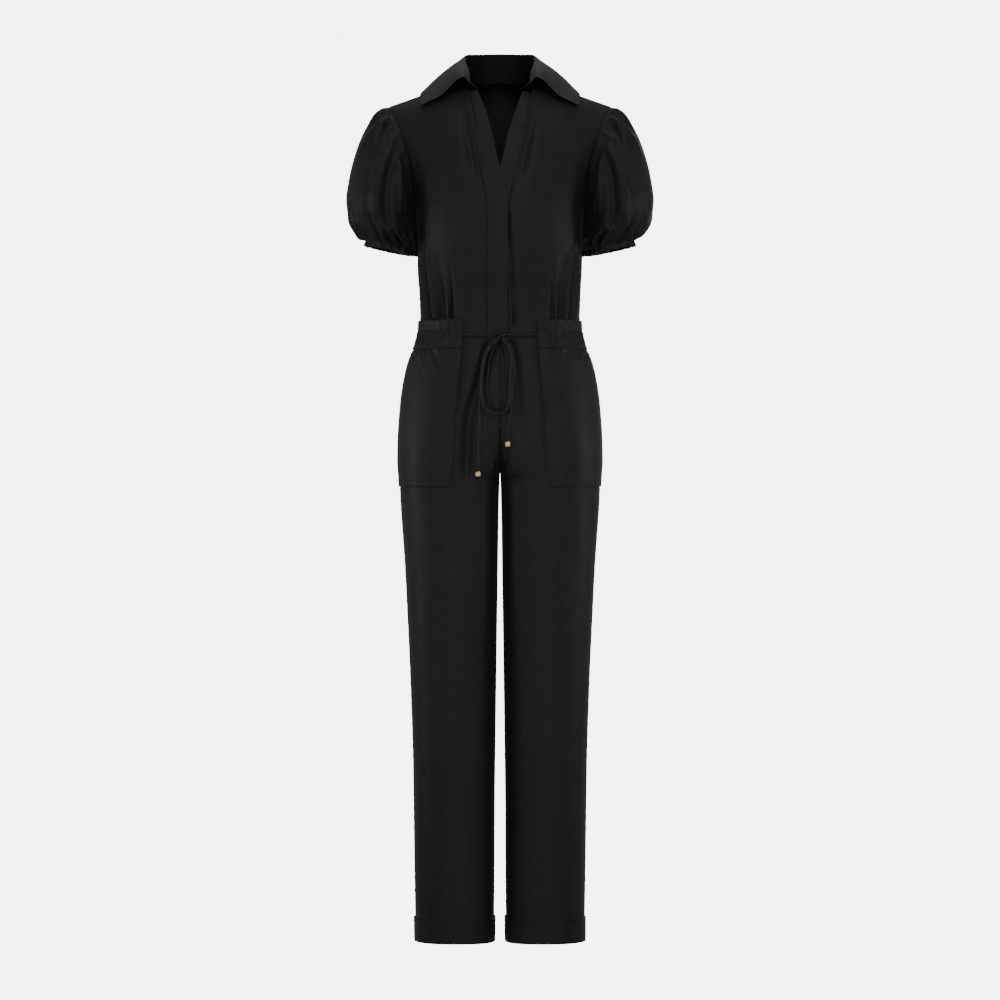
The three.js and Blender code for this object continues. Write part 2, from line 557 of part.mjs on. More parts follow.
// Waistband: an elastic casing laid over the waist seam, from its front end to the centre back
const bandTop = -393.5;
const bandBottom = -441.8;
const bandEnd = 61;           // distance of its front ends from the centre line
const bandPuckers = 30;       // gathers on each half
const puckerHeight = 0.7;
const bandLift = 3.4;
function waistbandGrid() {
  const columns = bandPuckers * 2;
  const heights = [bandTop, -403, -416, -430, bandBottom];
  const plain = heights.map((z) => {
    const first = Math.asin((bandEnd / torsoHalf(z)) ** (ovalPower / 2));
    return steps(columns, first, Math.PI - 0.002).map((turn) => {
      const sine = Math.abs(Math.sin(turn)) ** (2 / ovalPower);
      const cosine = Math.abs(Math.cos(turn)) ** (2 / ovalPower);
      const depth = Math.cos(turn) > 0 ? -torsoFront(z) : torsoBack(z);
      return [torsoHalf(z) * sine, depth * cosine, z];
    });
  });
  const out = normals(plain, false);
  return plain.map((row, i) => row.map((point, j) => {
    const elastic = i > 0 && i < 4 ? 1 : 0.25;
    const plainEnd = ramp(3, 6, j);
    const pucker = puckerHeight * elastic * plainEnd * (j % 2 === 0 ? 1 : -1);
    return moved(point, out[i][j], bandLift + pucker);
  }));
}
addPair('waistband', waistbandGrid());

// Tie cord: routes by hand as x, height and the distance of the cord's middle from the cloth
const cordSize = 5;
const routes = {
  cord_tie_right: [[-61.3, -419.3, 3.6], [-50, -419.6, 3.2], [-36, -420.2, 3.2], [-22, -420.2, 5.5],
    [-14, -420, 7.4], [-6.8, -420, 8.4]],
  cord_tie_left: [[61.3, -419.3, 3.6], [50, -419.6, 3.2], [36, -420.2, 3.2], [22, -420.4, 5.5],
    [14, -420.2, 7.4], [6.8, -420, 8.4]],
  cord_loop_front: [[-3.1, -426.7, 13.1], [-9, -433.5, 13.6], [-16, -441, 12], [-22, -451.4, 10.4],
    [-26.5, -466, 9], [-29, -486, 8.6], [-30, -508, 8.6], [-29, -528, 8.6], [-23.5, -541, 8.6],
    [-14, -547.5, 8.6], [-4, -549.5, 8.6], [6, -547.5, 8.6], [13, -538, 8.6], [15.2, -524, 8.6],
    [15.6, -503, 8.6], [17, -480, 8.8], [18.2, -460, 9.6], [15.5, -444, 11.6], [9.6, -434.4, 13.4],
    [3, -426.7, 13.1]],
  cord_loop_back: [[-2.2, -427.5, 7.4], [-6, -436, 7.2], [-12, -448, 5.6], [-16.5, -462, 3.6],
    [-19.5, -484, 3], [-21, -508, 3], [-18.5, -525, 3], [-12.5, -536.5, 3], [-3.5, -540.5, 3],
    [4, -535.5, 3], [8, -523, 3], [8.6, -506, 3], [9.4, -482, 3], [10.8, -462, 3.6],
    [9.2, -448, 5.6], [6, -436.2, 7.2], [2.8, -427.4, 7.4]],
  cord_tail_right: [[-5.9, -424.7, 5.8], [-14.5, -433, 4.2], [-22, -446, 3.4], [-28, -466, 3], [-31, -492, 3],
    [-32.5, -525, 3], [-33, -560, 3], [-34.6, -592, 3], [-35.6, -620, 3], [-35.9, -643.3, 3.2]],
  cord_tail_left: [[5.9, -424.7, 5.8], [14.5, -434, 4.2], [20, -446, 3.4], [22, -464, 3], [21.6, -490, 3],
    [19.2, -520, 3], [16.8, -548, 3], [14.2, -572, 3], [12.8, -594.6, 3.2]],
};
const cordSides = 8;
const circle = new THREE.Shape(Array.from({ length: cordSides }, (_, i) => {
  const turn = (2 * Math.PI * i) / cordSides;
  return new THREE.Vector2(Math.cos(turn), Math.sin(turn)).multiplyScalar(cordSize / 2);
}));
const onFront = ([x, z, off]) => new THREE.Vector3(x, frontDepth(x, z) - off, z);
for (const [name, route] of Object.entries(routes)) {
  const path = new THREE.CatmullRomCurve3(route.map(onFront), false, 'centripetal');
  const tube = new THREE.ExtrudeGeometry(circle, {
    steps: Math.max(5, Math.round(path.getLength() / (2.8 * cordSize))),
    extrudePath: path,
    bevelEnabled: false,
  });
  add(name, tube, cordCloth);
}

// Knot of the bow
const knotMiddle = { x: 0, z: -421.4, off: 9.2 };
const knotSize = { x: 6.6, y: 7.6, z: 6.2 };
const knot = new THREE.SphereGeometry(1, 14, 10);
knot.scale(knotSize.x, knotSize.y, knotSize.z);
knot.translate(knotMiddle.x, frontDepth(0, knotMiddle.z) - knotMiddle.off, knotMiddle.z);
add('bow_knot', knot, cordCloth);

// Gold tips: square studs at the cord's free ends
const tipSize = 8.2;
const tipBevel = 1.1;
const tipOff = 1.9;           // clear distance of a tip from the cloth behind it
for (const [side, x, z] of [['right', -35.9, -648.3], ['left', 12.7, -599.4]]) {
  const half = tipSize / 2 - tipBevel;
  const face = new THREE.Shape([[-half, -half], [half, -half], [half, half], [-half, half]]
    .map(([a, b]) => new THREE.Vector2(a, b)));
  const tip = new THREE.ExtrudeGeometry(face, {
    depth: tipSize - 3 * tipBevel,
    bevelEnabled: true,
    bevelThickness: tipBevel,
    bevelSize: tipBevel,
    bevelSegments: 1,
  });
  tip.rotateX(Math.PI / 2);
  tip.translate(x, frontDepth(x, z) - tipOff - tipBevel, z);
  add(`tip_${side}`, tip, gold);
}

export default jumpsuit;
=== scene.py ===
import bpy
import math
import numpy as np
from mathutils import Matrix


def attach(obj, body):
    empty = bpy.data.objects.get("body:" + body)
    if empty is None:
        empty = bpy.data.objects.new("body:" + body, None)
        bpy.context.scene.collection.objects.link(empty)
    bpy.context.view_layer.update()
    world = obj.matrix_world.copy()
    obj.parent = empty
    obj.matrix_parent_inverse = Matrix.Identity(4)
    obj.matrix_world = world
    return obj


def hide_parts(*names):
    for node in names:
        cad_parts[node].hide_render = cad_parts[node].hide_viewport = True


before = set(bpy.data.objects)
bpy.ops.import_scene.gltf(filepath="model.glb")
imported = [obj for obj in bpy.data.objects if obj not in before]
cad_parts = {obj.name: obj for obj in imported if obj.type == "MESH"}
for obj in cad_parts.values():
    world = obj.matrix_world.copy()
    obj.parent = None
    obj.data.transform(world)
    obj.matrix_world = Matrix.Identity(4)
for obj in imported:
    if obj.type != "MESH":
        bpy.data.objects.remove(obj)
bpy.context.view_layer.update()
bpy.ops.object.select_all(action="DESELECT")

# Shapes are worked out in millimetres, as the maker's sizes are, and meshes are made in metres.
metres = 0.001

viewpoint = {"distance": 7.0, "height": -0.6906, "frameWidth": 1.66, "sensor": 36.0}
bpy.ops.object.camera_add(location=(0, -viewpoint["distance"], viewpoint["height"]),
                          rotation=(math.pi / 2, 0, 0))
camera = bpy.context.object
camera.data.sensor_width = viewpoint["sensor"]
camera.data.lens = viewpoint["sensor"] * viewpoint["distance"] / viewpoint["frameWidth"]
camera.data.clip_end = 60
bpy.context.scene.camera = camera
print("camera placed")


def lerp(a, b, t):
    return a + (b - a) * t


def ramp(a, b, x):
    t = np.clip((np.asarray(x, float) - a) / (b - a), 0, 1)
    return t * t * (3 - 2 * t)


def smoothCurve(table, key, name):
    # smooth between the table's values, and never beyond them
    order = np.argsort(table[key])
    at = np.array(table[key], float)[order]
    value = np.array(table[name], float)[order]
    chord = np.diff(value) / np.diff(at)
    slope = np.empty(len(at))
    slope[0], slope[-1] = chord[0], chord[-1]
    agree = chord[:-1] * chord[1:] > 0
    total = np.where(agree, chord[:-1] + chord[1:], 1)
    slope[1:-1] = np.where(agree, 2 * chord[:-1] * chord[1:] / total, 0)

    def read(x):
        x = np.clip(x, at[0], at[-1])
        i = np.clip(np.searchsorted(at, x, side="right") - 1, 0, len(at) - 2)
        span = at[i + 1] - at[i]
        t = (x - at[i]) / span
        start = value[i] * (1 + 2 * t) * (1 - t) ** 2 + slope[i] * span * t * (1 - t) ** 2
        end = value[i + 1] * t * t * (3 - 2 * t) - slope[i + 1] * span * t * t * (1 - t)
        return start + end
    return read


# the general figure under the cloth: levels, ovals and armholes, as in the solids
levels = {"underarm": -200, "waist": -418, "hipStart": -440, "riseStart": -552, "crotch": -652,
          "hem": -1419.5}
ovalPower = 2.3
torso = {
    "z": (-200, -208, -240, -309, -350, -395, -418, -442, -458, -475, -500, -530, -590, -624, -652),
    "half": (142.5, 139.6, 138.2, 136, 134, 132.6, 134, 142.5, 149.5, 154.4, 159.5, 163.6, 167.8,
             168.5, 166.8),
    "front": (111, 112, 114, 106, 97, 90, 89, 93, 96, 98, 101, 103, 104, 103, 100),
    "back": (99, 98, 95, 87, 81, 78, 79, 86, 92, 98, 105, 112, 117, 116, 112),
}
leg = {
    "z": (-652, -691, -724, -790, -857, -989, -1122, -1255, -1421),
    "outer": (166.8, 165.4, 163.3, 158.5, 155, 148.9, 144.6, 142.8, 140.2),
    "inner": (0.5, 1.6, 2.4, 3.2, 4.2, 5.8, 7.3, 8.6, 10),
    "front": (100, 97, 95, 91, 88, 83, 79, 76, 74),
    "back": (112, 105, 101, 95, 91, 85, 81, 78, 76),
}
chest = {
    "station": (0, 0.05, 0.1, 0.17, 0.25, 0.35, 0.5, 0.6, 0.7, 0.75, 0.8, 0.85, 0.9, 0.94, 0.97, 0.99, 1),
    "front": (0, 11, 22, 37, 54, 71, 88, 95.6, 101.9, 104.5, 106.8, 108.7, 110.03, 110.68, 110.92,
              110.99, 111),
    "back": (0, 22, 44, 66, 80, 90, 97, 99.7, 101.0, 101.14, 100.74, 100.15, 99.57, 99.216, 99.055,
             99.006, 99),
    "roundFrom": 0.45, "sharpest": 0.98,
}
inseam = {"closing": 0.5, "closingRise": 8, "lowFullness": 2.8, "highFullness": 3.8, "fullFrom": -1100}
shoulder = {"peak": 27, "tipX": 184, "tipZ": -38, "underX": 142.5, "deepFront": 54, "deepBack": 57,
            "scoopFront": 11, "scoopBack": 5}
torsoHalf, torsoFront, torsoBack = (smoothCurve(torso, "z", name) for name in ("half", "front", "back"))
legOuter, legInner, legFront, legBack = (smoothCurve(leg, "z", name)
                                         for name in ("outer", "inner", "front", "back"))
chestFront, chestBack = (smoothCurve(chest, "station", name) for name in ("front", "back"))


def armhole(face, station):
    # from the shoulder tip, 0, to the underarm, 1
    side = "Front" if face < 0 else "Back"
    turn = np.pi * np.asarray(station, float)
    along = (1 + np.cos(turn)) / 2
    x = lerp(shoulder["underX"], shoulder["tipX"], along) - shoulder["scoop" + side] * np.sin(turn) ** 2
    z = lerp(levels["underarm"], shoulder["tipZ"], along)
    return x, face * shoulder["deep" + side] * np.sin(turn), z


def bodice(face, station, x):
    # stations 0 to 1 above the underarm and 1 to 2 down to the waist
    station, x = np.broadcast_arrays(np.asarray(station, float), np.asarray(x, float))
    upper = station < 1
    level = np.minimum(lerp(levels["underarm"], levels["waist"], station - 1), levels["underarm"])
    armX, armY, armZ = armhole(face, np.minimum(station, 1))
    edgeX = np.where(upper, armX, torsoHalf(level))
    edgeY = np.where(upper, armY, 0)
    edgeZ = np.where(upper, armZ, level)
    chestDepth, torsoDepth = (chestFront, torsoFront) if face < 0 else (chestBack, torsoBack)
    depth = np.where(upper, chestDepth(np.minimum(station, 1)), torsoDepth(level))
    rise = (1 + np.cos(np.pi * np.minimum(station, 1))) / 2
    centreZ = np.where(upper, lerp(levels["underarm"], shoulder["peak"], rise), level)
    across = np.minimum(1, np.abs(x) / edgeX)
    early = np.clip((station - chest["roundFrom"]) / (1 - chest["roundFrom"]), 0, 1)
    rounding = lerp(1, ovalPower, 1 - (1 - early) ** 4 * (1 + 4 * early))
    # the oval reaches as far as it must to pass through the armhole's edge
    edgeShare = np.where(depth > 1e-6, np.abs(edgeY) / np.maximum(depth, 1e-6), 0)
    reach = (1 - np.minimum(edgeShare, chest["sharpest"]) ** rounding) ** (-1 / ovalPower)
    swell = np.maximum(0, 1 - (across / reach) ** ovalPower) ** (1 / rounding)
    return np.stack([x, face * depth * swell, lerp(centreZ, edgeZ, across)], axis=-1)


def trouserOval(z):
    split = z < levels["crotch"]
    closing = inseam["closing"] * ramp(levels["crotch"] + inseam["closingRise"], levels["crotch"], z)
    return np.where(split, legOuter(z), torsoHalf(z)), np.where(split, legInner(z), closing)


def trouser(face, z, turn):
    # turn 0 on the centre seam or inseam and 1 on the side seam
    z, turn = np.broadcast_arrays(np.asarray(z, float), np.asarray(turn, float))
    outer, inner = trouserOval(z)
    legDepth, torsoDepth = (legFront, torsoFront) if face < 0 else (legBack, torsoBack)
    depth = np.where(z < levels["crotch"], legDepth(z), torsoDepth(z))
    middle, reach = (inner + outer) / 2, (outer - inner) / 2
    x = middle - reach * np.cos(np.pi * turn)
    fall = np.clip((levels["riseStart"] - z) / (levels["riseStart"] - levels["crotch"]), 0, 1)
    under = 1 - np.sqrt(1 - fall * fall)
    hipShape = np.maximum(0, 1 - (x / outer) ** ovalPower) ** (1 / ovalPower)
    rounder = lerp(inseam["lowFullness"], inseam["highFullness"],
                   ramp(inseam["fullFrom"], levels["crotch"], z))
    fullness = np.where(x < middle, rounder, ovalPower)
    legShape = np.maximum(0, 1 - np.abs((x - middle) / reach) ** fullness) ** (1 / fullness)
    share = np.where(legShape < hipShape, under, ramp(levels["hipStart"], levels["crotch"], z))
    return np.stack([x, face * depth * lerp(hipShape, legShape, share), z], axis=-1)


def turnAt(x, z):
    outer, inner = trouserOval(z)
    return np.arccos(np.clip((inner + outer - 2 * x) / (outer - inner), -1, 1)) / np.pi


def frontDepth(x, z):
    if z > levels["waist"]:
        station = 1 + (levels["underarm"] - z) / (levels["underarm"] - levels["waist"])
        return float(bodice(-1, station, x)[1])
    return float(trouser(-1, z, turnAt(abs(x), z))[1])


# sheets of points: rows run down and columns anticlockwise seen from above, so faces point out
def mirrored(points):
    return points[:, ::-1] * np.array([-1, 1, 1])


def outwards(points, ring=False, flat=()):
    if ring:
        across = np.roll(points, -1, axis=1) - np.roll(points, 1, axis=1)
    else:
        across = np.gradient(points, axis=1)
    normal = np.cross(np.gradient(points, axis=0), across)
    for rows, column, axis in flat:      # at these places the normal has no share of this axis
        normal[rows, column, axis] = 0
    return normal / np.maximum(np.linalg.norm(normal, axis=2, keepdims=True), 1e-9)


def clothPlaces(points):
    # distances along the cloth, from the first column and from the first row
    u = np.cumsum(np.linalg.norm(np.diff(points, axis=1), axis=2), axis=1)
    v = np.cumsum(np.linalg.norm(np.diff(points, axis=0), axis=2), axis=0)
    return np.pad(u, ((0, 0), (1, 0))), np.pad(v, ((1, 0), (0, 0)))


clothEdgeAngle = 50     # past this many degrees a cloth piece shows a sharp edge


def clothPiece(name, points, thickness, ring=False):
    rows, columns = points.shape[:2]
    spans = columns if ring else columns - 1
    i, j = np.meshgrid(np.arange(rows - 1), np.arange(spans), indexing="ij")
    corners = ((i, j), (i + 1, j), (i + 1, j + 1), (i, j + 1))
    faces = np.stack([a * columns + b % columns for a, b in corners], axis=-1).reshape(-1, 4)
    mesh = bpy.data.meshes.new(name)
    mesh.from_pydata((points.reshape(-1, 3) * metres).tolist(), [], faces.tolist())
    closed = np.concatenate([points, points[:, :1]], axis=1) if ring else points
    u, v = clothPlaces(closed)
    uv = np.stack([np.stack([u[a, b], -v[a, b]], axis=-1) for a, b in corners], axis=2)
    mesh.uv_layers.new(name="cloth").data.foreach_set("uv", (uv * metres).ravel())
    piece = bpy.data.objects.new(name, mesh)
    takeUp(piece)
    wall = piece.modifiers.new("wall", "SOLIDIFY")
    wall.thickness = thickness * metres
    wall.offset = -1
    bpy.ops.object.modifier_apply(modifier="wall")
    bpy.ops.object.shade_smooth_by_angle(angle=math.radians(clothEdgeAngle))
    piece.select_set(False)
    return piece


def takeUp(piece):
    # a new piece goes into the scene and is the only one worked on
    bpy.context.collection.objects.link(piece)
    bpy.ops.object.select_all(action="DESELECT")
    piece.select_set(True)
    bpy.context.view_layer.objects.active = piece


def solidPiece(name, points, faces, softAngle, clothPlace):
    # a closed mesh, whose faces are turned outwards and whose cloth place comes from the vertex number
    mesh = bpy.data.meshes.new(name)
    mesh.from_pydata((points * metres).tolist(), [], faces)
    uv = mesh.uv_layers.new(name="cloth")
    for loop, corner in zip(mesh.loops, uv.data):
        corner.uv = [v * metres for v in clothPlace(loop.vertex_index)]
    piece = bpy.data.objects.new(name, mesh)
    takeUp(piece)
    bpy.ops.object.mode_set(mode="EDIT")
    bpy.ops.mesh.select_all(action="SELECT")
    bpy.ops.mesh.normals_make_consistent(inside=False)
    bpy.ops.object.mode_set(mode="OBJECT")
    bpy.ops.object.shade_smooth_by_angle(angle=math.radians(softAngle))
    piece.select_set(False)
    return piece


def nearPath(path, x, z):
    # distance to a path, the share of it passed and the side on which a place lies
    path = np.array(path, float)
    lengths = np.linalg.norm(np.diff(path, axis=0), axis=1)
    starts = np.concatenate([[0], np.cumsum(lengths)])
    best = np.full(x.shape, 1e9)
    along, side = np.zeros(x.shape), np.ones(x.shape)
    for k, length in enumerate(lengths):
        (ax, az), (bx, bz) = path[k], path[k + 1]
        dx, dz = (bx - ax) / length, (bz - az) / length
        t = np.clip((x - ax) * dx + (z - az) * dz, 0, length)
        gap = np.hypot(x - ax - t * dx, z - az - t * dz)
        closer = gap < best
        best = np.where(closer, gap, best)
        along = np.where(closer, (starts[k] + t) / starts[-1], along)
        side = np.where(closer, np.sign(dx * (z - az) - dz * (x - ax)), side)
    return best, along, side


foldTip = 0.55     # how wide a fold is at its ends, as a share of its width


def foldRelief(folds, x, z):
    # each fold: height, width, lean, share at each end over which it fades, and its path
    total = np.zeros(x.shape)
    for height, width, lean, fadeIn, fadeOut, path in folds:
        gap, along, side = nearPath(path, x, z)
        strength = ramp(0, fadeIn, along) * (1 - ramp(1 - fadeOut, 1, along))
        s = gap / (width * lerp(foldTip, 1, strength))
        total += height * strength * np.exp(-s * s) * (1 + lean * side * np.minimum(s, 2))
    return total


def seamDip(distance, depth=0.8, width=1.5):
    return -depth * np.exp(-(distance / width) ** 2)


def softEdge(distance, radius):
    # the turned edge of doubled cloth rounds off over its own thickness
    inside = np.clip(1 - distance / radius, 0, 1)
    return -radius * (1 - np.sqrt(1 - inside ** 2))


def edgeSpread(count, length, fine=4.0, steps=4):
    # shares of a length, with close steps over a fine stretch at both ends; a piece's dictionary
    # gives these four as its across and down
    near = np.linspace(0, fine / length, steps + 1)
    middle = np.linspace(fine / length, 1 - fine / length, count)
    return np.concatenate([near[:-1], middle, 1 - near[::-1][1:]])


def finish(piece, nodes, material):
    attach(piece, "root")
    if nodes:
        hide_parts(*nodes)
    piece.data.materials.clear()
    piece.data.materials.append(material)


def sew(node, points, thickness, material, ring=False, **sheet):
    # one cut piece of cloth, made into a thin wall, put in place of its part and given its material
    piece = clothPiece("cloth_" + node, points, thickness, ring=ring)
    finish(piece, [node], material)


# materials: effects that several finishes share are node groups
def newGroup(name, inputs, outputs):
    group = bpy.data.node_groups.new(name, "ShaderNodeTree")
    for label, kind, value in inputs:
        socket = group.interface.new_socket(name=label, in_out="INPUT", socket_type=kind)
        if value is not None:
            socket.default_value = value
    for label, kind in outputs:
        group.interface.new_socket(name=label, in_out="OUTPUT", socket_type=kind)
    return group, group.nodes.new("NodeGroupInput"), group.nodes.new("NodeGroupOutput")


def newMaterial(name):
    material = bpy.data.materials.new(name)
    material.use_nodes = True
    return material, material.node_tree, material.node_tree.nodes["Principled BSDF"]


def addNode(tree, kind, values, group=None):
    node = tree.nodes.new(kind)
    if group:
        node.node_tree = group
    for name, value in values.items():
        node.inputs[name].default_value = value
    return node


def mathNode(tree, operation, first, second=None):
    node = tree.nodes.new("ShaderNodeMath")
    node.operation = operation
    for socket, value in zip(node.inputs, (first, second)):
        if isinstance(value, (int, float)):
            socket.default_value = value
        elif value is not None:
            tree.links.new(value, socket)
    return node.outputs[0]


weaveLook = {"slant": 58, "wander": 1.6, "ribDetail": 1.0, "ribWidth": 0.16, "ribShare": 0.5,
             "grainDetail": 3.0}
handlingLook = {"stretch": (1.6, 1.6, 0.55), "broadDetail": 2.5, "broadRoughness": 0.45,
                "fineDetail": 2.0, "finer": 5.0, "fineShare": 0.05}


def weaveGroup():
    # fine slanting ribs of a twill crepe with uneven threads
    group, inside, outside = newGroup(
        "weave",
        [("Place", "NodeSocketVector", None), ("Threads", "NodeSocketFloat", 1400.0),
         ("Unevenness", "NodeSocketFloat", 0.35)],
        [("Height", "NodeSocketFloat"), ("Shade", "NodeSocketFloat")])
    place, threads, uneven = inside.outputs[:3]
    turned = group.nodes.new("ShaderNodeVectorRotate")
    turned.rotation_type = "Z_AXIS"
    turned.inputs["Angle"].default_value = math.radians(weaveLook["slant"])
    group.links.new(place, turned.inputs["Vector"])
    ribs = addNode(group, "ShaderNodeTexWave",
                   {"Distortion": weaveLook["wander"], "Detail": weaveLook["ribDetail"]})
    ribs.wave_type = "BANDS"
    ribs.bands_direction = "X"
    group.links.new(turned.outputs["Vector"], ribs.inputs["Vector"])
    group.links.new(mathNode(group, "MULTIPLY", threads, weaveLook["ribWidth"]), ribs.inputs["Scale"])
    grain = addNode(group, "ShaderNodeTexNoise", {"Detail": weaveLook["grainDetail"]})
    group.links.new(place, grain.inputs["Vector"])
    group.links.new(threads, grain.inputs["Scale"])
    unevenPart = mathNode(group, "MULTIPLY", grain.outputs["Fac"], uneven)
    ribPart = mathNode(group, "MULTIPLY", ribs.outputs["Fac"], weaveLook["ribShare"])
    group.links.new(mathNode(group, "ADD", ribPart, unevenPart), outside.inputs["Height"])
    group.links.new(grain.outputs["Fac"], outside.inputs["Shade"])
    return group


def handlingGroup():
    # broad, soft unevenness of cloth that has been worn and pressed
    group, inside, outside = newGroup(
        "handling",
        [("Place", "NodeSocketVector", None), ("Size", "NodeSocketFloat", 9.0)],
        [("Height", "NodeSocketFloat"), ("Patches", "NodeSocketFloat")])
    place, size = inside.outputs[:2]
    stretched = addNode(group, "ShaderNodeMapping", {"Scale": handlingLook["stretch"]})
    group.links.new(place, stretched.inputs["Vector"])
    broad = addNode(group, "ShaderNodeTexNoise", {"Detail": handlingLook["broadDetail"],
                                                  "Roughness": handlingLook["broadRoughness"]})
    group.links.new(size, broad.inputs["Scale"])
    fine = addNode(group, "ShaderNodeTexNoise", {"Detail": handlingLook["fineDetail"]})
    group.links.new(mathNode(group, "MULTIPLY", size, handlingLook["finer"]), fine.inputs["Scale"])
    for noise in (broad, fine):
        group.links.new(stretched.outputs["Vector"], noise.inputs["Vector"])
    finePart = mathNode(group, "MULTIPLY", fine.outputs["Fac"], handlingLook["fineShare"])
    group.links.new(mathNode(group, "ADD", broad.outputs["Fac"], finePart), outside.inputs["Height"])
    group.links.new(fine.outputs["Fac"], outside.inputs["Patches"])
    return group


weave = weaveGroup()
handling = handlingGroup()


def clothMaterial(name, look):
    material, tree, shader = newMaterial(name)
    places = tree.nodes.new("ShaderNodeTexCoord")
    threads = addNode(tree, "ShaderNodeGroup",
                      {"Threads": look["threads"], "Unevenness": look["unevenness"]}, weave)
    tree.links.new(places.outputs["UV"], threads.inputs["Place"])
    hand = addNode(tree, "ShaderNodeGroup", {"Size": look["wrinkleSize"]}, handling)
    tree.links.new(places.outputs["Object"], hand.inputs["Place"])
    colours = tree.nodes.new("ShaderNodeValToRGB")
    for k, (position, colour) in enumerate((("rampFrom", "dark"), ("rampTo", "light"))):
        colours.color_ramp.elements[k].position = look[position]
        colours.color_ramp.elements[k].color = (*look[colour], 1)
    threadPart = mathNode(tree, "MULTIPLY", threads.outputs["Shade"], look["threadShare"])
    patchPart = mathNode(tree, "MULTIPLY", hand.outputs["Patches"], 1 - look["threadShare"])
    tree.links.new(mathNode(tree, "ADD", threadPart, patchPart), colours.inputs["Fac"])
    tree.links.new(colours.outputs["Color"], shader.inputs["Base Color"])
    roughPart = mathNode(tree, "MULTIPLY", threads.outputs["Shade"], look["roughSpread"])
    tree.links.new(mathNode(tree, "ADD", roughPart, look["roughness"]), shader.inputs["Roughness"])
    broad = addNode(tree, "ShaderNodeBump", {"Distance": look["wrinkleHeight"]})
    tree.links.new(hand.outputs["Height"], broad.inputs["Height"])
    fine = addNode(tree, "ShaderNodeBump", {"Distance": look["threadHeight"]})
    tree.links.new(threads.outputs["Height"], fine.inputs["Height"])
    tree.links.new(broad.outputs["Normal"], fine.inputs["Normal"])
    tree.links.new(fine.outputs["Normal"], shader.inputs["Normal"])
    shader.inputs["Specular IOR Level"].default_value = look["gloss"]
    shader.inputs["Sheen Weight"].default_value = look["sheen"]
    shader.inputs["Sheen Roughness"].default_value = look["sheenRoughness"]
    return material


crepeLook = {
    "dark": (0.0078, 0.0075, 0.0075), "light": (0.0119, 0.0115, 0.0115), "rampFrom": 0.3, "rampTo": 0.7,
    "roughness": 0.5, "roughSpread": 0.14, "gloss": 0.2, "sheen": 0.03, "sheenRoughness": 0.4,
    "threads": 1500.0, "unevenness": 0.4, "threadShare": 0.6, "threadHeight": 0.00012,
    "wrinkleSize": 7.0, "wrinkleHeight": 0.005,
}
pressedLook = {**crepeLook, "wrinkleSize": 14.0, "wrinkleHeight": 0.003}
crepe = clothMaterial("blackCrepe", crepeLook)
# the collar's copy of the same crepe, painted lighter: a painted highlight for the light its upturned leaf
# catches
paintedLightCrepe = clothMaterial("blackCrepePaintedLight", {
    **pressedLook, "dark": (0.0185, 0.018, 0.018), "light": (0.0245, 0.024, 0.024),
    "roughness": 0.46, "gloss": 0.32, "sheen": 0.05,
})
# the stand's copy of the same crepe, painted darker: painted shade for the inside of the neck
paintedShadeCrepe = clothMaterial("blackCrepePaintedShade", {
    **pressedLook, "dark": (0.0042, 0.004, 0.004), "light": (0.0064, 0.0062, 0.0062),
    "roughness": 0.6, "gloss": 0.1, "sheen": 0.0,
})
cordCrepe = clothMaterial("blackCord", {
    **crepeLook, "dark": (0.0076, 0.0073, 0.0073), "light": (0.012, 0.0117, 0.0117),
    "roughness": 0.45, "gloss": 0.25, "sheen": 0.02, "threads": 1800.0, "unevenness": 0.5,
    "threadHeight": 0.00015, "wrinkleSize": 60.0, "wrinkleHeight": 0.0012,
})
thread = clothMaterial("blackThread", {
    **crepeLook, "dark": (0.0092, 0.009, 0.009), "light": (0.0133, 0.013, 0.013),
    "roughness": 0.42, "gloss": 0.35, "sheen": 0.0, "threads": 5200.0, "unevenness": 0.6,
    "threadHeight": 0.00006, "wrinkleSize": 200.0, "wrinkleHeight": 0.0002,
})


def goldMaterial(look):
    material, tree, shader = newMaterial("paleGold")
    places = tree.nodes.new("ShaderNodeTexCoord")
    cast = addNode(tree, "ShaderNodeTexNoise", {"Scale": look["grain"], "Detail": look["grainDetail"]})
    tree.links.new(places.outputs["Object"], cast.inputs["Vector"])
    colours = tree.nodes.new("ShaderNodeValToRGB")
    colours.color_ramp.elements[0].color = (*look["dark"], 1)
    colours.color_ramp.elements[1].color = (*look["light"], 1)
    tree.links.new(cast.outputs["Fac"], colours.inputs["Fac"])
    tree.links.new(colours.outputs["Color"], shader.inputs["Base Color"])
    roughPart = mathNode(tree, "MULTIPLY", cast.outputs["Fac"], look["roughSpread"])
    tree.links.new(mathNode(tree, "ADD", roughPart, look["roughness"]), shader.inputs["Roughness"])
    bump = addNode(tree, "ShaderNodeBump", {"Distance": look["dent"], "Strength": look["dentStrength"]})
    tree.links.new(cast.outputs["Fac"], bump.inputs["Height"])
    tree.links.new(bump.outputs["Normal"], shader.inputs["Normal"])
    shader.inputs["Metallic"].default_value = 1.0
    return material


gold = goldMaterial({"dark": (0.60, 0.43, 0.19), "light": (0.86, 0.69, 0.40), "roughness": 0.2,
                     "roughSpread": 0.15, "grain": 900.0, "grainDetail": 3.0, "dent": 0.0002,
                     "dentStrength": 0.4})
print("materials made")

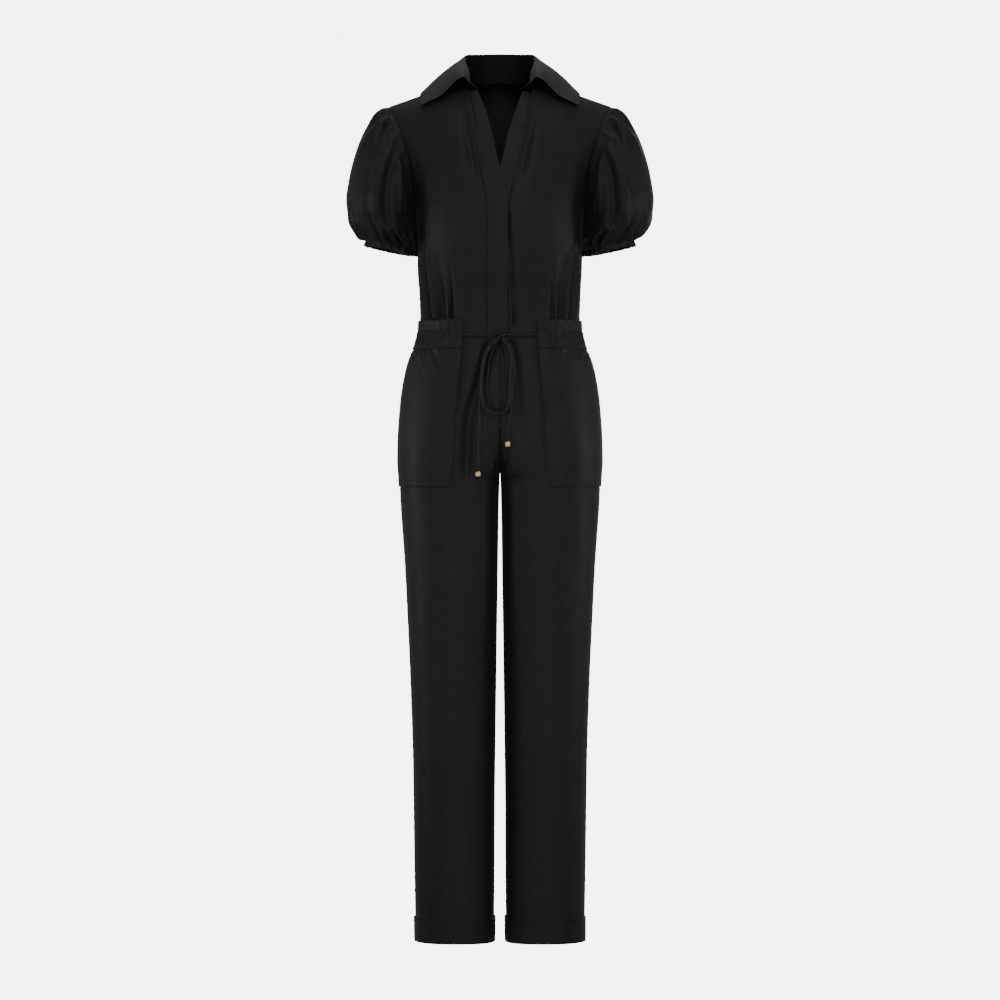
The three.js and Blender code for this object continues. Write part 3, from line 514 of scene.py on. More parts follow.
# the waist cord: x, height and distance of the cord's middle from the cloth
cord = {"diameter": 5.0, "roundness": 5, "steps": 8}
cordRoutes = {
    "cord_tie_right": [(-61.3, -419.3, 3.6), (-50, -419.6, 3.2), (-36, -420.2, 3.2), (-22, -420.2, 5.5),
                       (-14, -420, 7.4), (-6.8, -420, 8.4)],
    "cord_tie_left": [(61.3, -419.3, 3.6), (50, -419.6, 3.2), (36, -420.2, 3.2), (22, -420.4, 5.5),
                      (14, -420.2, 7.4), (6.8, -420, 8.4)],
    "cord_loop_front": [(-3.1, -426.7, 13.1), (-9, -433.5, 13.6), (-16, -441, 12), (-22, -451.4, 10.4),
                        (-26.5, -466, 9), (-29, -486, 8.6), (-30, -508, 8.6), (-29, -528, 8.6),
                        (-23.5, -541, 8.6), (-14, -547.5, 8.6), (-4, -549.5, 8.6), (6, -547.5, 8.6),
                        (13, -538, 8.6), (15.2, -524, 8.6), (15.6, -503, 8.6), (17, -480, 8.8),
                        (18.2, -460, 9.6), (15.5, -444, 11.6), (9.6, -434.4, 13.4), (3, -426.7, 13.1)],
    "cord_loop_back": [(-2.2, -427.5, 7.4), (-6, -436, 7.2), (-12, -448, 5.6), (-16.5, -462, 3.6),
                       (-19.5, -484, 3), (-21, -508, 3), (-18.5, -525, 3), (-12.5, -536.5, 3),
                       (-3.5, -540.5, 3), (4, -535.5, 3), (8, -523, 3), (8.6, -506, 3), (9.4, -482, 3),
                       (10.8, -462, 3.6), (9.2, -448, 5.6), (6, -436.2, 7.2), (2.8, -427.4, 7.4)],
    "cord_tail_right": [(-5.9, -424.7, 5.8), (-14.5, -433, 4.2), (-22, -446, 3.4), (-28, -466, 3),
                        (-31, -492, 3), (-32.5, -525, 3), (-33, -560, 3), (-34.6, -592, 3),
                        (-35.6, -620, 3), (-35.9, -643.3, 3.2)],
    "cord_tail_left": [(5.9, -424.7, 5.8), (14.5, -434, 4.2), (20, -446, 3.4), (22, -464, 3),
                       (21.6, -490, 3), (19.2, -520, 3), (16.8, -548, 3), (14.2, -572, 3),
                       (12.8, -594.6, 3.2)],
}
cordLengths = {"cord_tie_right": 0.055, "cord_tie_left": 0.055, "cord_loop_front": 0.27,
               "cord_loop_back": 0.24, "cord_tail_right": 0.225, "cord_tail_left": 0.176}


def cordPiece(node):
    points = [(x, frontDepth(x, z) - off, z) for x, z, off in cordRoutes[node]]
    curve = bpy.data.curves.new("sewn_" + node, "CURVE")
    curve.dimensions = "3D"
    curve.bevel_depth = 1.0     # thickened by the radius of each point
    curve.bevel_resolution = cord["roundness"]
    curve.resolution_u = cord["steps"]
    curve.use_fill_caps = True
    spline = curve.splines.new("BEZIER")
    spline.bezier_points.add(len(points) - 1)
    for bend, point in zip(spline.bezier_points, points):
        bend.co = [v * metres for v in point]
        bend.handle_left_type = bend.handle_right_type = "AUTO"
        bend.radius = cord["diameter"] * metres / 2
    piece = bpy.data.objects.new(curve.name, curve)
    bpy.context.collection.objects.link(piece)
    return piece, [v * metres for v in points[0]]


knot = {"z": -421.4, "off": 9.2, "reach": 1.72, "deep": 1.5, "strand": 2.15, "steps": 160, "sides": 14,
        "softAngle": 180, "uvAlong": 0.4, "uvAround": 0.9}


def knotPiece():
    # a small overhand knot of the same cord, drawn tight
    turn = np.arange(knot["steps"]) * 2 * np.pi / knot["steps"]
    path = np.stack([(np.sin(turn) + 2 * np.sin(2 * turn)) * knot["reach"],
                     -np.sin(3 * turn) * knot["reach"] * knot["deep"],
                     (np.cos(turn) - 2 * np.cos(2 * turn)) * knot["reach"]], axis=-1)
    ahead = np.roll(path, -1, axis=0) - np.roll(path, 1, axis=0)
    ahead /= np.linalg.norm(ahead, axis=1, keepdims=True)
    side = np.cross(ahead, np.array([0.0, 1.0, 0.0]))
    side /= np.linalg.norm(side, axis=1, keepdims=True)
    other = np.cross(ahead, side)
    angle = np.arange(knot["sides"]) * 2 * np.pi / knot["sides"]
    rings = path[:, None] + knot["strand"] * (np.cos(angle)[None, :, None] * side[:, None]
                                             + np.sin(angle)[None, :, None] * other[:, None])
    rings += np.array([0, frontDepth(0, knot["z"]) - knot["off"], knot["z"]])
    count, sides = rings.shape[:2]
    faces = [(i * sides + j, i * sides + (j + 1) % sides,
              (i + 1) % count * sides + (j + 1) % sides, (i + 1) % count * sides + j)
             for i in range(count) for j in range(sides)]
    return solidPiece("tiedKnot", rings.reshape(-1, 3), faces, knot["softAngle"], lambda vertex: (
        vertex // sides * knot["uvAlong"], vertex % sides * knot["uvAround"]))


tip = {"size": 8.2, "bevel": 1.0, "bevelSteps": 2, "facet": 1.5, "facetRise": 0.5, "crown": 0.9,
       "crownDrop": -0.35, "sharpAngle": 25, "off": 1.9, "right": (-35.9, -648.3), "left": (12.7, -599.4)}


def tipPiece(side):
    # a square stud: a block with bevelled edges and a low pyramid raised on its face
    x, z = tip[side]
    depth = tip["size"] - tip["bevel"]
    y = frontDepth(x, z) - tip["off"] - depth / 2
    bpy.ops.object.select_all(action="DESELECT")
    bpy.ops.mesh.primitive_cube_add(size=1, location=[v * metres for v in (x, y, z)])
    piece = bpy.context.object
    piece.name = "stud_" + side
    piece.scale = [v * metres for v in (tip["size"], depth, tip["size"])]
    bpy.ops.object.transform_apply(location=True, rotation=False, scale=True)
    bpy.ops.object.mode_set(mode="EDIT")
    bpy.ops.mesh.select_all(action="SELECT")
    bpy.ops.mesh.bevel(offset=tip["bevel"] * metres, segments=tip["bevelSteps"], affect="EDGES")
    bpy.ops.mesh.select_all(action="DESELECT")
    bpy.ops.object.mode_set(mode="OBJECT")
    front = min(face.center.y for face in piece.data.polygons)
    for face in piece.data.polygons:
        face.select = face.center.y < front + 1e-6 and face.normal.y < -0.99
    bpy.ops.object.mode_set(mode="EDIT")
    bpy.ops.mesh.select_mode(type="FACE")
    bpy.ops.mesh.inset(thickness=tip["facet"] * metres, depth=tip["facetRise"] * metres)
    bpy.ops.mesh.inset(thickness=tip["crown"] * metres, depth=tip["crownDrop"] * metres)
    bpy.ops.object.mode_set(mode="OBJECT")
    bpy.ops.object.shade_smooth_by_angle(angle=math.radians(tip["sharpAngle"]))
    piece.data.uv_layers[0].name = "cloth"
    piece.select_set(False)
    return piece


studs = {side: tipPiece(side) for side in ("right", "left")}
for side, stud in studs.items():
    finish(stud, ["tip_" + side], gold)
tiedKnot = knotPiece()
finish(tiedKnot, ["bow_knot"], cordCrepe)
for node, length in cordLengths.items():
    piece, start = cordPiece(node)
    finish(piece, [node], cordCrepe)
print("cord tied")

# folds of the fronts and the back: height, width, lean, fades and path on the cloth
frontFolds = {
    "right": [   # the wearer's right, which is the photograph's left
        (-5.0, 3.6, 0.0, 0.01, 0.9, [(-129, -396), (-131, -340), (-134, -270)]),
        (9.0, 4.2, 0.2, 0.01, 0.6, [(-121, -396), (-125, -340), (-130, -280), (-134, -222)]),
        (-8.5, 3.8, 0.0, 0.01, 0.7, [(-112, -396), (-118, -340), (-124, -280), (-130, -236)]),
        (9.0, 4.4, 0.2, 0.01, 0.7, [(-104, -396), (-110, -345), (-117, -290), (-127, -228)]),
        (-8.5, 5.2, -0.25, 0.01, 0.9, [(-95, -396), (-99, -350), (-104, -300), (-112, -246)]),
        (3.6, 4.0, 0.0, 0.01, 0.9, [(-84, -396), (-86, -340), (-90, -275)]),
        (-6.0, 3.4, 0.2, 0.01, 0.95, [(-79, -396), (-80, -350), (-82, -286)]),
        (3.0, 4.0, 0.0, 0.01, 0.9, [(-71, -396), (-73, -350), (-76, -300)]),
        (-2.0, 7.0, 0.0, 0.01, 0.9, [(-55, -396), (-56, -360), (-59, -318)]),
        (-5.0, 7.5, 0.25, 0.25, 0.35, [(-62, -40), (-57, -80), (-49, -120), (-38, -172)]),
        (2.4, 12.0, 0.0, 0.4, 0.4, [(-68, -70), (-66, -120), (-60, -180)]),
        (-1.6, 16.0, 0.0, 0.4, 0.4, [(-120, -110), (-95, -170), (-80, -230)]),
    ],
    "left": [
        (-3.6, 3.6, 0.0, 0.06, 0.1, [(12, -212), (16, -280), (21.5, -360), (23, -420)]),
        (-5.0, 3.6, 0.0, 0.01, 0.9, [(129, -396), (130, -340), (133, -276)]),
        (8.6, 4.2, -0.2, 0.01, 0.6, [(120, -396), (124, -340), (128, -290), (133, -232)]),
        (-8.0, 3.8, 0.0, 0.01, 0.7, [(112, -396), (116, -345), (122, -290), (129, -240)]),
        (9.0, 4.4, -0.2, 0.01, 0.7, [(105, -396), (109, -345), (115, -290), (124, -236)]),
        (-5.0, 4.6, 0.25, 0.01, 0.9, [(98, -396), (100, -350), (104, -300), (109, -256)]),
        (4.0, 4.0, 0.0, 0.01, 0.9, [(90, -396), (91, -340), (94, -276)]),
        (-4.6, 3.4, -0.2, 0.01, 0.95, [(84, -396), (85, -350), (87, -296)]),
        (3.0, 4.2, 0.0, 0.01, 0.9, [(77, -396), (78, -350), (80, -306)]),
        (-1.8, 6.5, 0.0, 0.01, 0.9, [(61, -396), (62, -360), (64, -322)]),
        (-5.0, 7.5, -0.25, 0.25, 0.35, [(57, -40), (50, -84), (39, -132), (29, -180)]),
        (2.2, 12.0, 0.0, 0.4, 0.4, [(66, -75), (60, -125), (50, -190)]),
        (-1.4, 16.0, 0.0, 0.4, 0.4, [(122, -118), (98, -180), (84, -240)]),
    ],
}
bandFolds = [
    (-1.2, 7.0, 0.0, 0.3, 0.3, [(16, -215), (17, -300), (19, -396), (20, -418)]),
    (-2.2, 9.0, 0.0, 0.02, 0.9, [(0, -418), (-3, -405), (-4, -380)]),
]
backFolds = [
    (-5.0, 5.0, 0.2, 0.01, 0.95, [(-122, -396), (-126, -320), (-128, -240)]),
    (-4.6, 6.0, -0.2, 0.01, 0.95, [(-103, -396), (-107, -340), (-112, -266)]),
    (3.0, 6.0, 0.0, 0.01, 0.9, [(-94, -396), (-97, -340), (-100, -280)]),
    (-4.2, 5.5, 0.2, 0.01, 0.95, [(-84, -396), (-87, -350), (-90, -286)]),
    (2.6, 7.0, 0.0, 0.01, 0.9, [(-71, -396), (-72, -340), (-73, -290)]),
    (-3.6, 7.0, 0.0, 0.01, 0.95, [(-58, -396), (-60, -350), (-62, -300)]),
    (2.2, 7.0, 0.0, 0.01, 0.9, [(-44, -396), (-45, -350), (-46, -310)]),
    (-3.2, 7.0, 0.0, 0.01, 0.95, [(-30, -396), (-31, -350), (-32, -306)]),
    (-2.4, 8.0, 0.0, 0.01, 0.95, [(-2, -396), (0, -350), (3, -322)]),
    (-3.0, 7.0, 0.0, 0.01, 0.95, [(31, -396), (32, -350), (34, -300)]),
    (2.4, 7.0, 0.0, 0.01, 0.9, [(45, -396), (46, -350), (47, -296)]),
    (-3.8, 6.6, 0.0, 0.01, 0.95, [(59, -396), (61, -345), (63, -292)]),
    (2.8, 7.0, 0.0, 0.01, 0.9, [(72, -396), (73, -340), (75, -286)]),
    (-4.4, 5.5, -0.2, 0.01, 0.95, [(85, -396), (88, -345), (91, -280)]),
    (3.0, 6.0, 0.0, 0.01, 0.9, [(95, -396), (98, -340), (101, -276)]),
    (-4.6, 6.0, 0.2, 0.01, 0.95, [(104, -396), (108, -335), (113, -258)]),
    (-5.0, 5.0, -0.2, 0.01, 0.95, [(122, -396), (125, -320), (128, -232)]),
    (-1.8, 14.0, 0.0, 0.4, 0.4, [(-128, -130), (-95, -180), (-70, -240)]),
    (-1.8, 14.0, 0.0, 0.4, 0.4, [(126, -124), (96, -178), (72, -236)]),
]
trouserFolds = {
    "frontRight": [
        (-8.0, 9.0, 0.2, 0.05, 0.25, [(-16, -425), (-28, -470), (-42, -520), (-52, -560), (-56, -650),
                                      (-57, -690)]),
        (2.6, 9.0, 0.0, 0.2, 0.5, [(-30, -440), (-48, -500), (-64, -560)]),
        (-1.8, 5.0, 0.3, 0.1, 0.7, [(-1.5, -650), (-10, -620), (-19, -590), (-25, -548)]),
        (2.4, 5.0, 0.0, 0.1, 0.7, [(-6, -655), (-17, -628), (-27, -596)]),
        (-2.0, 9.0, 0.0, 0.3, 0.5, [(-8, -668), (-34, -655), (-62, -650)]),
        (-1.2, 13.0, 0.2, 0.4, 0.3, [(-28, -730), (-25, -880), (-21, -1100), (-18, -1340)]),
        (2.0, 20.0, 0.0, 0.3, 0.3, [(-86, -700), (-80, -900), (-76, -1150), (-74, -1360)]),
        (-1.8, 15.0, 0.0, 0.4, 0.4, [(-120, -760), (-112, -900), (-108, -1060)]),
    ],
    "frontLeft": [
        (-6.0, 9.0, -0.2, 0.05, 0.5, [(18, -425), (26, -480), (31, -545), (34, -600)]),
        (-1.8, 6.0, -0.3, 0.1, 0.7, [(1.5, -650), (9, -625), (14, -596), (20, -566)]),
        (2.2, 5.0, 0.0, 0.1, 0.7, [(6, -654), (15, -630), (23, -604)]),
        (-1.6, 9.0, 0.0, 0.3, 0.5, [(8, -672), (32, -660), (58, -656)]),
        (-1.6, 14.0, -0.2, 0.4, 0.3, [(34, -690), (32, -790), (27, -950), (22, -1200), (20, -1360)]),
        (1.8, 20.0, 0.0, 0.3, 0.3, [(88, -710), (82, -900), (78, -1150), (75, -1360)]),
        (-1.6, 15.0, 0.0, 0.4, 0.4, [(124, -720), (116, -860), (110, -1040)]),
    ],
    "backRight": [
        (-3.2, 12.0, 0.2, 0.1, 0.6, [(-40, -452), (-56, -520), (-78, -600)]),
        (-3.4, 7.0, 0.2, 0.1, 0.7, [(-2, -652), (-22, -640), (-52, -612)]),
        (-3.0, 8.0, 0.0, 0.1, 0.7, [(-4, -676), (-34, -672), (-70, -655)]),
        (-4.0, 13.0, 0.2, 0.4, 0.3, [(-34, -730), (-30, -900), (-25, -1140), (-22, -1350)]),
        (2.0, 20.0, 0.0, 0.3, 0.3, [(-88, -740), (-82, -900), (-77, -1150), (-74, -1360)]),
    ],
    "backLeft": [
        (-3.0, 12.0, -0.2, 0.1, 0.6, [(44, -452), (60, -515), (80, -590)]),
        (-3.2, 7.0, -0.2, 0.1, 0.7, [(2, -650), (24, -636), (56, -606)]),
        (-2.8, 8.0, 0.0, 0.1, 0.7, [(4, -680), (32, -676), (66, -664)]),
        (-4.2, 13.0, -0.2, 0.4, 0.3, [(32, -720), (29, -900), (24, -1140), (21, -1350)]),
        (2.0, 20.0, 0.0, 0.3, 0.3, [(86, -740), (81, -900), (77, -1150), (74, -1360)]),
    ],
}

# the front opening: outer seam and inner edge of each band, by height
opening = {
    "z": (5, -24, -54, -86, -122, -140, -156, -180, -207, -260, -420),
    "overSeam": (62, 49, 42.5, 37.5, 35.5, 33.5, 30, 24, 20.3, 20.3, 20.3),
    "overEdge": (50, 34, 22, 13, 5.6, 1.2, -4.2, -9.6, -11.6, -11.6, -11.6),
    "underSeam": (62, 50, 46, 40.5, 33.6, 30, 25.6, 20, 14.5, 13.5, 13.5),
    "underEdge": (50, 34.5, 24, 13.2, 5.2, 0.8, -4.2, -9.5, -14, -15.5, -15.5),
}
overSeam, overEdge, underSeam, underEdge = (smoothCurve(opening, "z", name)
                                            for name in ("overSeam", "overEdge", "underSeam", "underEdge"))
bodiceCut = {"upperRows": 70, "lowerRows": 78, "across": (72, 150), "backAcross": (64, 190),
             "thickness": 0.9, "tuck": 1.5, "flatSide": 7, "flatEnd": 12, "pucker": 0.25,
             "overDip": (2.4, 1.8, 1.6), "underDip": (0, 1.6, 1.8)}     # place, depth and width
bands = {"neckStation": 0.238, "lift": 2.3, "thickness": 1.9, "across": (22, 32, 3.0, 5), "stitchInset": 2.2,
         "overRound": 1.1, "underRound": 0.9, "underDip": (1.5, 1.6), "groove": (0.25, 0.7), "sway": 0.22}


def edgeAt(edge, station):
    x = edge(0.0)
    for _ in range(8):
        x = edge(bodice(-1, station, x)[..., 2])
    return x


def around(u):
    return np.sin(u * np.pi / 2) ** (2 / ovalPower)


def unaround(t):
    return np.arcsin(t ** (ovalPower / 2)) / (np.pi / 2)


frontStations = np.concatenate([np.linspace(0, 1, bodiceCut["upperRows"], endpoint=False),
                                np.linspace(1, 2, bodiceCut["lowerRows"])])


def awayFromUnderarm(stations):
    return ramp(0.03, 0.2, np.abs(stations - 1.02))[:, None]


def frontPanel(side):
    innerEdge = (lambda z: overSeam(z) - bodiceCut["tuck"]) if side == "right" else underSeam
    spread = edgeSpread(*bodiceCut["across"])
    rows = []
    for station in frontStations:
        level = bodice(-1, station, 0.0)[2]
        edge = armhole(-1, station)[0] if station < 1 else torsoHalf(level)
        start = unaround(edgeAt(innerEdge, station) / edge)
        rows.append(bodice(-1, station, around(lerp(start, 1, spread)) * edge))
    points = np.stack(rows)
    below = frontStations >= 1
    sideways = -1 if side == "right" else 1
    outer = outwards(points, flat=[(below, -1, 1), (0, slice(None), 1)])
    u, v = clothPlaces(points)
    fromSide = u[:, -1:] - u
    relief = foldRelief(frontFolds[side], sideways * points[..., 0], points[..., 2])
    relief *= ramp(0, bodiceCut["flatSide"], fromSide) * ramp(0, bodiceCut["flatEnd"], v)
    relief += seamDip(fromSide) * awayFromUnderarm(frontStations) + seamDip(v)
    relief += seamPuckers(v, fromSide, bodiceCut["pucker"])
    besideBand, *dip = bodiceCut["underDip" if side == "left" else "overDip"]
    relief += seamDip(u - besideBand, *dip)
    points = points + outer * relief[..., None]
    return mirrored(points) if side == "right" else points


def seamPuckers(along, distance, height, pitch=11.0):
    wobble = np.sin(along * 2 * np.pi / pitch) + 0.6 * np.sin(along * 2 * np.pi / (pitch * 0.61) + 1.3)
    return height * wobble * np.exp(-((distance - 5) / 4.5) ** 2)


def bandPanel(which):
    inner, outerSeam = (overEdge, overSeam) if which == "over" else (underEdge, underSeam)
    stations = frontStations[frontStations >= bands["neckStation"] - 1e-9]
    stations = np.concatenate([[bands["neckStation"]], stations[1:]])
    spread = edgeSpread(*bands["across"])
    rows = []
    for station in stations:
        a, b = edgeAt(inner, station), edgeAt(outerSeam, station)
        x = lerp(-b, -a, spread) if which == "over" else lerp(a, b, spread)
        rows.append(bodice(-1, station, x))
    points = np.stack(rows)
    outer = outwards(points)
    u, v = clothPlaces(points)
    relief = foldRelief(bandFolds, points[..., 0], points[..., 2])
    if which == "over":
        edges = np.minimum(u, u[:, -1:] - u)
        relief += bands["lift"] + softEdge(edges, bands["overRound"])
    else:
        edges = u
        relief += softEdge(u, bands["underRound"]) + seamDip(u[:, -1:] - u, *bands["underDip"])
    relief += seamDip(edges - bands["stitchInset"], *bands["groove"])
    relief += bands["sway"] * np.sin(v * 0.11) * np.sin(v * 0.043 + 1)
    return points + outer * relief[..., None]


overBand = bandPanel("over")
underBand = bandPanel("under")
for side in ("left", "right"):
    sew("bodice_front_" + side, frontPanel(side), bodiceCut["thickness"], crepe,
        flat=(0.19, 0.46), area=0.066, held="gathered", rests_on=["bodice_back"])
sew("front_band_over", overBand, bands["thickness"], crepe,
    flat=(0.034, 0.42), area=0.0125, held="stretched", rests_on=["front_band_under"])
sew("front_band_under", underBand, bands["thickness"], crepe,
    flat=(0.034, 0.42), area=0.0118, held="stretched", rests_on=["bodice_front_left"])

backNeck = {"half": 62, "station": 0.176, "squareness": 2.0, "scoop": 1.5}


def neckStationAt(x):
    share = np.minimum(1, np.abs(x) / backNeck["half"])
    return backNeck["station"] * (1 - share ** backNeck["squareness"]) ** (1 / backNeck["scoop"])


def backPanel():
    half = around(edgeSpread(*bodiceCut["backAcross"]))
    half = np.concatenate([[0], half[half > 0.004]])
    across = np.concatenate([-half[::-1], half[1:]])
    downs = np.concatenate([np.linspace(0, 0.5, bodiceCut["upperRows"], endpoint=False),
                            np.linspace(0.5, 1, bodiceCut["lowerRows"])])
    rows = []
    for down in downs:
        guess = np.abs(across) * shoulder["tipX"]
        first = np.where(guess < backNeck["half"], neckStationAt(guess), 0)
        station = lerp(first, 2, down)
        level = np.minimum(lerp(levels["underarm"], levels["waist"], station - 1), levels["underarm"])
        edge = np.where(station < 1, armhole(1, np.minimum(station, 1))[0], torsoHalf(level))
        rows.append(bodice(1, station, across * edge))
    points = np.stack(rows)[:, ::-1]
    below = downs >= 0.5
    onShoulder = np.abs(points[0, :, 0]) >= backNeck["half"]
    outer = outwards(points, flat=[(below, 0, 1), (below, -1, 1), (0, onShoulder, 1)])
    u, v = clothPlaces(points)
    fromSide = np.minimum(u, u[:, -1:] - u)
    relief = foldRelief(backFolds, points[..., 0], points[..., 2])
    relief *= ramp(0, bodiceCut["flatSide"], fromSide) * ramp(0, bodiceCut["flatEnd"], v)
    relief += seamDip(fromSide) * awayFromUnderarm(downs * 2) + seamDip(v)
    relief += seamPuckers(v, fromSide, bodiceCut["pucker"])
    return points + outer * relief[..., None]


sew("bodice_back", backPanel(), bodiceCut["thickness"], crepe,
    flat=(0.40, 0.46), area=0.155, held="gathered", rests_on=["bodice_front_left", "bodice_front_right"])
print("bodice sewn")

# the collar: roll line and the place on the bodice over which its outer edge lies
collar = {
    "place": (0, 0.14, 0.3, 0.45, 0.6, 0.75, 0.88, 1),
    "rollX": (0, 30, 51, 57.5, 57.5, 54, 51.6, 50.5),
    "rollY": (70, 64.5, 43, 18, -8, -31, -46, -56),
    "rollZ": (55, 54, 51.5, 46, 36, 21, 8, -5.6),
    "station": (0.22, 0.215, 0.185, 0.1, -0.01, -0.11, -0.18, -0.235),
    "edgeX": (0, 34, 68, 97, 119, 130, 131, 127.5),
    "lift": (8, 8, 6, 4, 3, 4, 6, 7),
}
# the front of the collar breaks over a crest near the roll line
collarCrest = {"down": (0, 0.05, 0.11, 0.17, 0.24, 0.41, 0.62, 1),
               "height": (0, 7, 14, 15.5, 14.8, 8, 0.8, 0)}
collarMake = {"standLift": -0.6, "fallLift": 2.3, "bowBack": 5, "bowFront": 13, "bandTop": 16.0,
              "bowPeak": 0.8, "bowOut": 0.5, "bowUp": 0.8, "bowFades": 0.66, "crestFrom": 0.6,
              "crestBack": 0.3, "crestScale": 0.4, "columns": 130, "crowding": 0.95,
              "endSteps": (0.002, 0.006, 0.012), "standRows": 14, "fallDown": (44, 95, 4.0, 5),
              "thickness": 1.8, "edgeRound": 1.2, "stitchInset": 5.0, "groove": (0.3, 0.9), "sway": 0.35}
collarAt = {name: smoothCurve(collar, "place", name) for name in collar if name != "place"}
crestHeight = smoothCurve(collarCrest, "down", "height")


def neckline(place):
    if place < 0.5:
        x = backNeck["half"] * math.sin(place * math.pi)
        return bodice(1, neckStationAt(x), x)
    forward = 2 * place - 1
    station = bands["neckStation"] * forward
    return bodice(-1, station, edgeAt(overSeam, station) - collarMake["bandTop"] * ramp(0.75, 1, forward))


def collarEdge(place):
    station = float(collarAt["station"](place))
    face = -1 if station < 0 else 1
    station, x = abs(station), float(collarAt["edgeX"](place))
    here = bodice(face, station, x)
    normal = -face * np.cross(bodice(face, station + 0.02, x) - here, bodice(face, station, x + 1) - here)
    return here + normal / np.linalg.norm(normal) * collarAt["lift"](place)


def collarGrid(downs, line):
    places = np.linspace(-1, 1, collarMake["columns"])
    places = np.sign(places) * np.abs(places) ** collarMake["crowding"]
    ends = np.array(collarMake["endSteps"])
    places = np.unique(np.concatenate([places, 1 - ends, ends - 1]))[::-1]
    sides = [line(abs(place), downs) * np.array([1 if place > 0 else -1, 1, 1]) for place in places]
    return np.stack(sides, axis=1)


def rollPoint(place):
    return np.array([collarAt["rollX"](place), collarAt["rollY"](place), collarAt["rollZ"](place)])


def standLine(place, downs):
    foot = neckline(place) + np.array([0, 0, collarMake["standLift"]])
    return lerp(foot, rollPoint(place), downs[:, None])


def fallLine(place, downs):
    roll, edge = rollPoint(place), collarEdge(place)
    bow = lerp(collarMake["bowBack"], collarMake["bowFront"], ramp(0.3, 1, place))
    bow = bow * np.sin(np.pi * downs ** collarMake["bowPeak"]) * (1 - ramp(collarMake["bowFades"], 1, place))
    away = (edge - roll)[:2] / np.linalg.norm((edge - roll)[:2])
    forward = ramp(collarMake["crestFrom"], 1, place)
    crest = crestHeight(downs / lerp(collarMake["crestScale"], 1, forward)) * forward
    push = np.stack([away[0] * bow * collarMake["bowOut"],
                     away[1] * bow * collarMake["bowOut"] - collarMake["crestBack"] * crest,
                     bow * collarMake["bowUp"] + crest], axis=-1)
    return lerp(roll, edge, downs[:, None]) + push


def collarFall():
    points = collarGrid(edgeSpread(*collarMake["fallDown"]), fallLine)
    outer = outwards(points)
    u, v = clothPlaces(points)
    fromEnd = np.minimum(u, u[:, -1:] - u)
    edges = np.minimum(fromEnd, v[-1:] - v)
    relief = collarMake["fallLift"] + softEdge(edges, collarMake["edgeRound"])
    relief += seamDip(edges - collarMake["stitchInset"], *collarMake["groove"])
    relief += collarMake["sway"] * np.sin(u * 0.05) * ramp(8, 40, v)
    return points + outer * relief[..., None]


fallPoints = collarFall()
sew("collar_fall", fallPoints, collarMake["thickness"], paintedLightCrepe,
    flat=(0.44, 0.11), area=0.031, held="folded", rests_on=["collar_stand"])
standPoints = collarGrid(np.linspace(1, 0, collarMake["standRows"]), standLine)
sew("collar_stand", standPoints, collarMake["thickness"], paintedShadeCrepe,
    flat=(0.40, 0.05), area=0.0122, held="stretched", rests_on=["bodice_back"])
print("collar set")

# sleeves: rings from the armhole to the hem, by the ends of their long axis and their depth
sleeve = {
    "ring": (0, 1, 2, 3, 4, 5, 6, 7, 8),
    "outX": (184, 205, 226, 241, 250.5, 255.5, 251.5, 239, 223),
    "outZ": (-38, -50.5, -80, -118, -156, -193, -223, -246, -260),
    "inX": (142.5, 141.6, 140.4, 139.4, 138.9, 138.5, 138.1, 137.9, 138.6),
    "inZ": (-200, -205, -212, -221, -231, -243, -256, -268, -277.5),
    "depth": (55.5, 64, 71, 75, 76, 74, 69, 61, 53),
}
sleeveMake = {"headRings": 10, "bodyRings": 52, "hemRings": 20, "columns": 288, "thickness": 0.8,
              "gathers": 17, "seed": {"left": 0.4, "right": 1.9}, "headRipple": 2.8, "hemRipple": 6.8,
              "hemPinch": 2.6, "hook": 0.12, "gathersFrom": 5.4, "armholeDip": (2.4, 2.6),
              "tuck": 12.0, "tuckTurn": 0.5, "tuckWidth": 0.22,
              "hollow": 9.0, "hollowTurn": -0.62, "hollowWidth": 0.34}
casingMake = {"depth": 9.0, "down": (9, 9, 1.2, 3), "flare": 1.6, "frill": (0.7, 1.1), "groove": 0.4,
              "thickness": 1.6}
sleeveAt = {name: smoothCurve(sleeve, "ring", name) for name in sleeve if name != "ring"}
sleeveFolds = {
    "front": [   # by distance from the middle of the body and height
        (-6.0, 3.4, 0.2, 0.05, 0.5, [(183, -60), (190, -76), (200, -94), (206, -108)]),
        (3.6, 3.8, 0.0, 0.1, 0.5, [(182, -50), (203, -70), (226, -102), (243, -140)]),
        (-3.0, 4.5, 0.0, 0.15, 0.6, [(178, -70), (184, -92), (192, -120)]),
        (4.6, 8.0, 0.1, 0.2, 0.2, [(174, -98), (191, -135), (204, -180), (203, -240)]),
        (-6.0, 7.0, -0.1, 0.25, 0.1, [(172, -112), (184, -160), (188, -207), (182, -250)]),
        (5.0, 4.6, 0.0, 0.3, 0.2, [(166, -118), (164, -170), (161, -232)]),
        (-3.6, 11.0, 0.0, 0.35, 0.35, [(198, -112), (214, -150), (222, -200)]),
        (4.4, 4.5, 0.3, 0.3, 0.2, [(252, -192), (241, -226), (220, -260)]),
    ],
    "back": [
        (-3.2, 3.6, 0.3, 0.1, 0.6, [(187, -60), (194, -84), (203, -112)]),
        (5.0, 9.0, 0.2, 0.3, 0.3, [(178, -100), (198, -150), (206, -190), (205, -240)]),
        (-7.5, 7.0, -0.3, 0.3, 0.12, [(172, -112), (184, -160), (189, -205), (184, -250)]),
        (-4.4, 12.0, 0.0, 0.35, 0.35, [(202, -110), (218, -150), (226, -204)]),
        (4.0, 5.0, 0.3, 0.3, 0.2, [(250, -190), (240, -224), (222, -258)]),
    ],
}


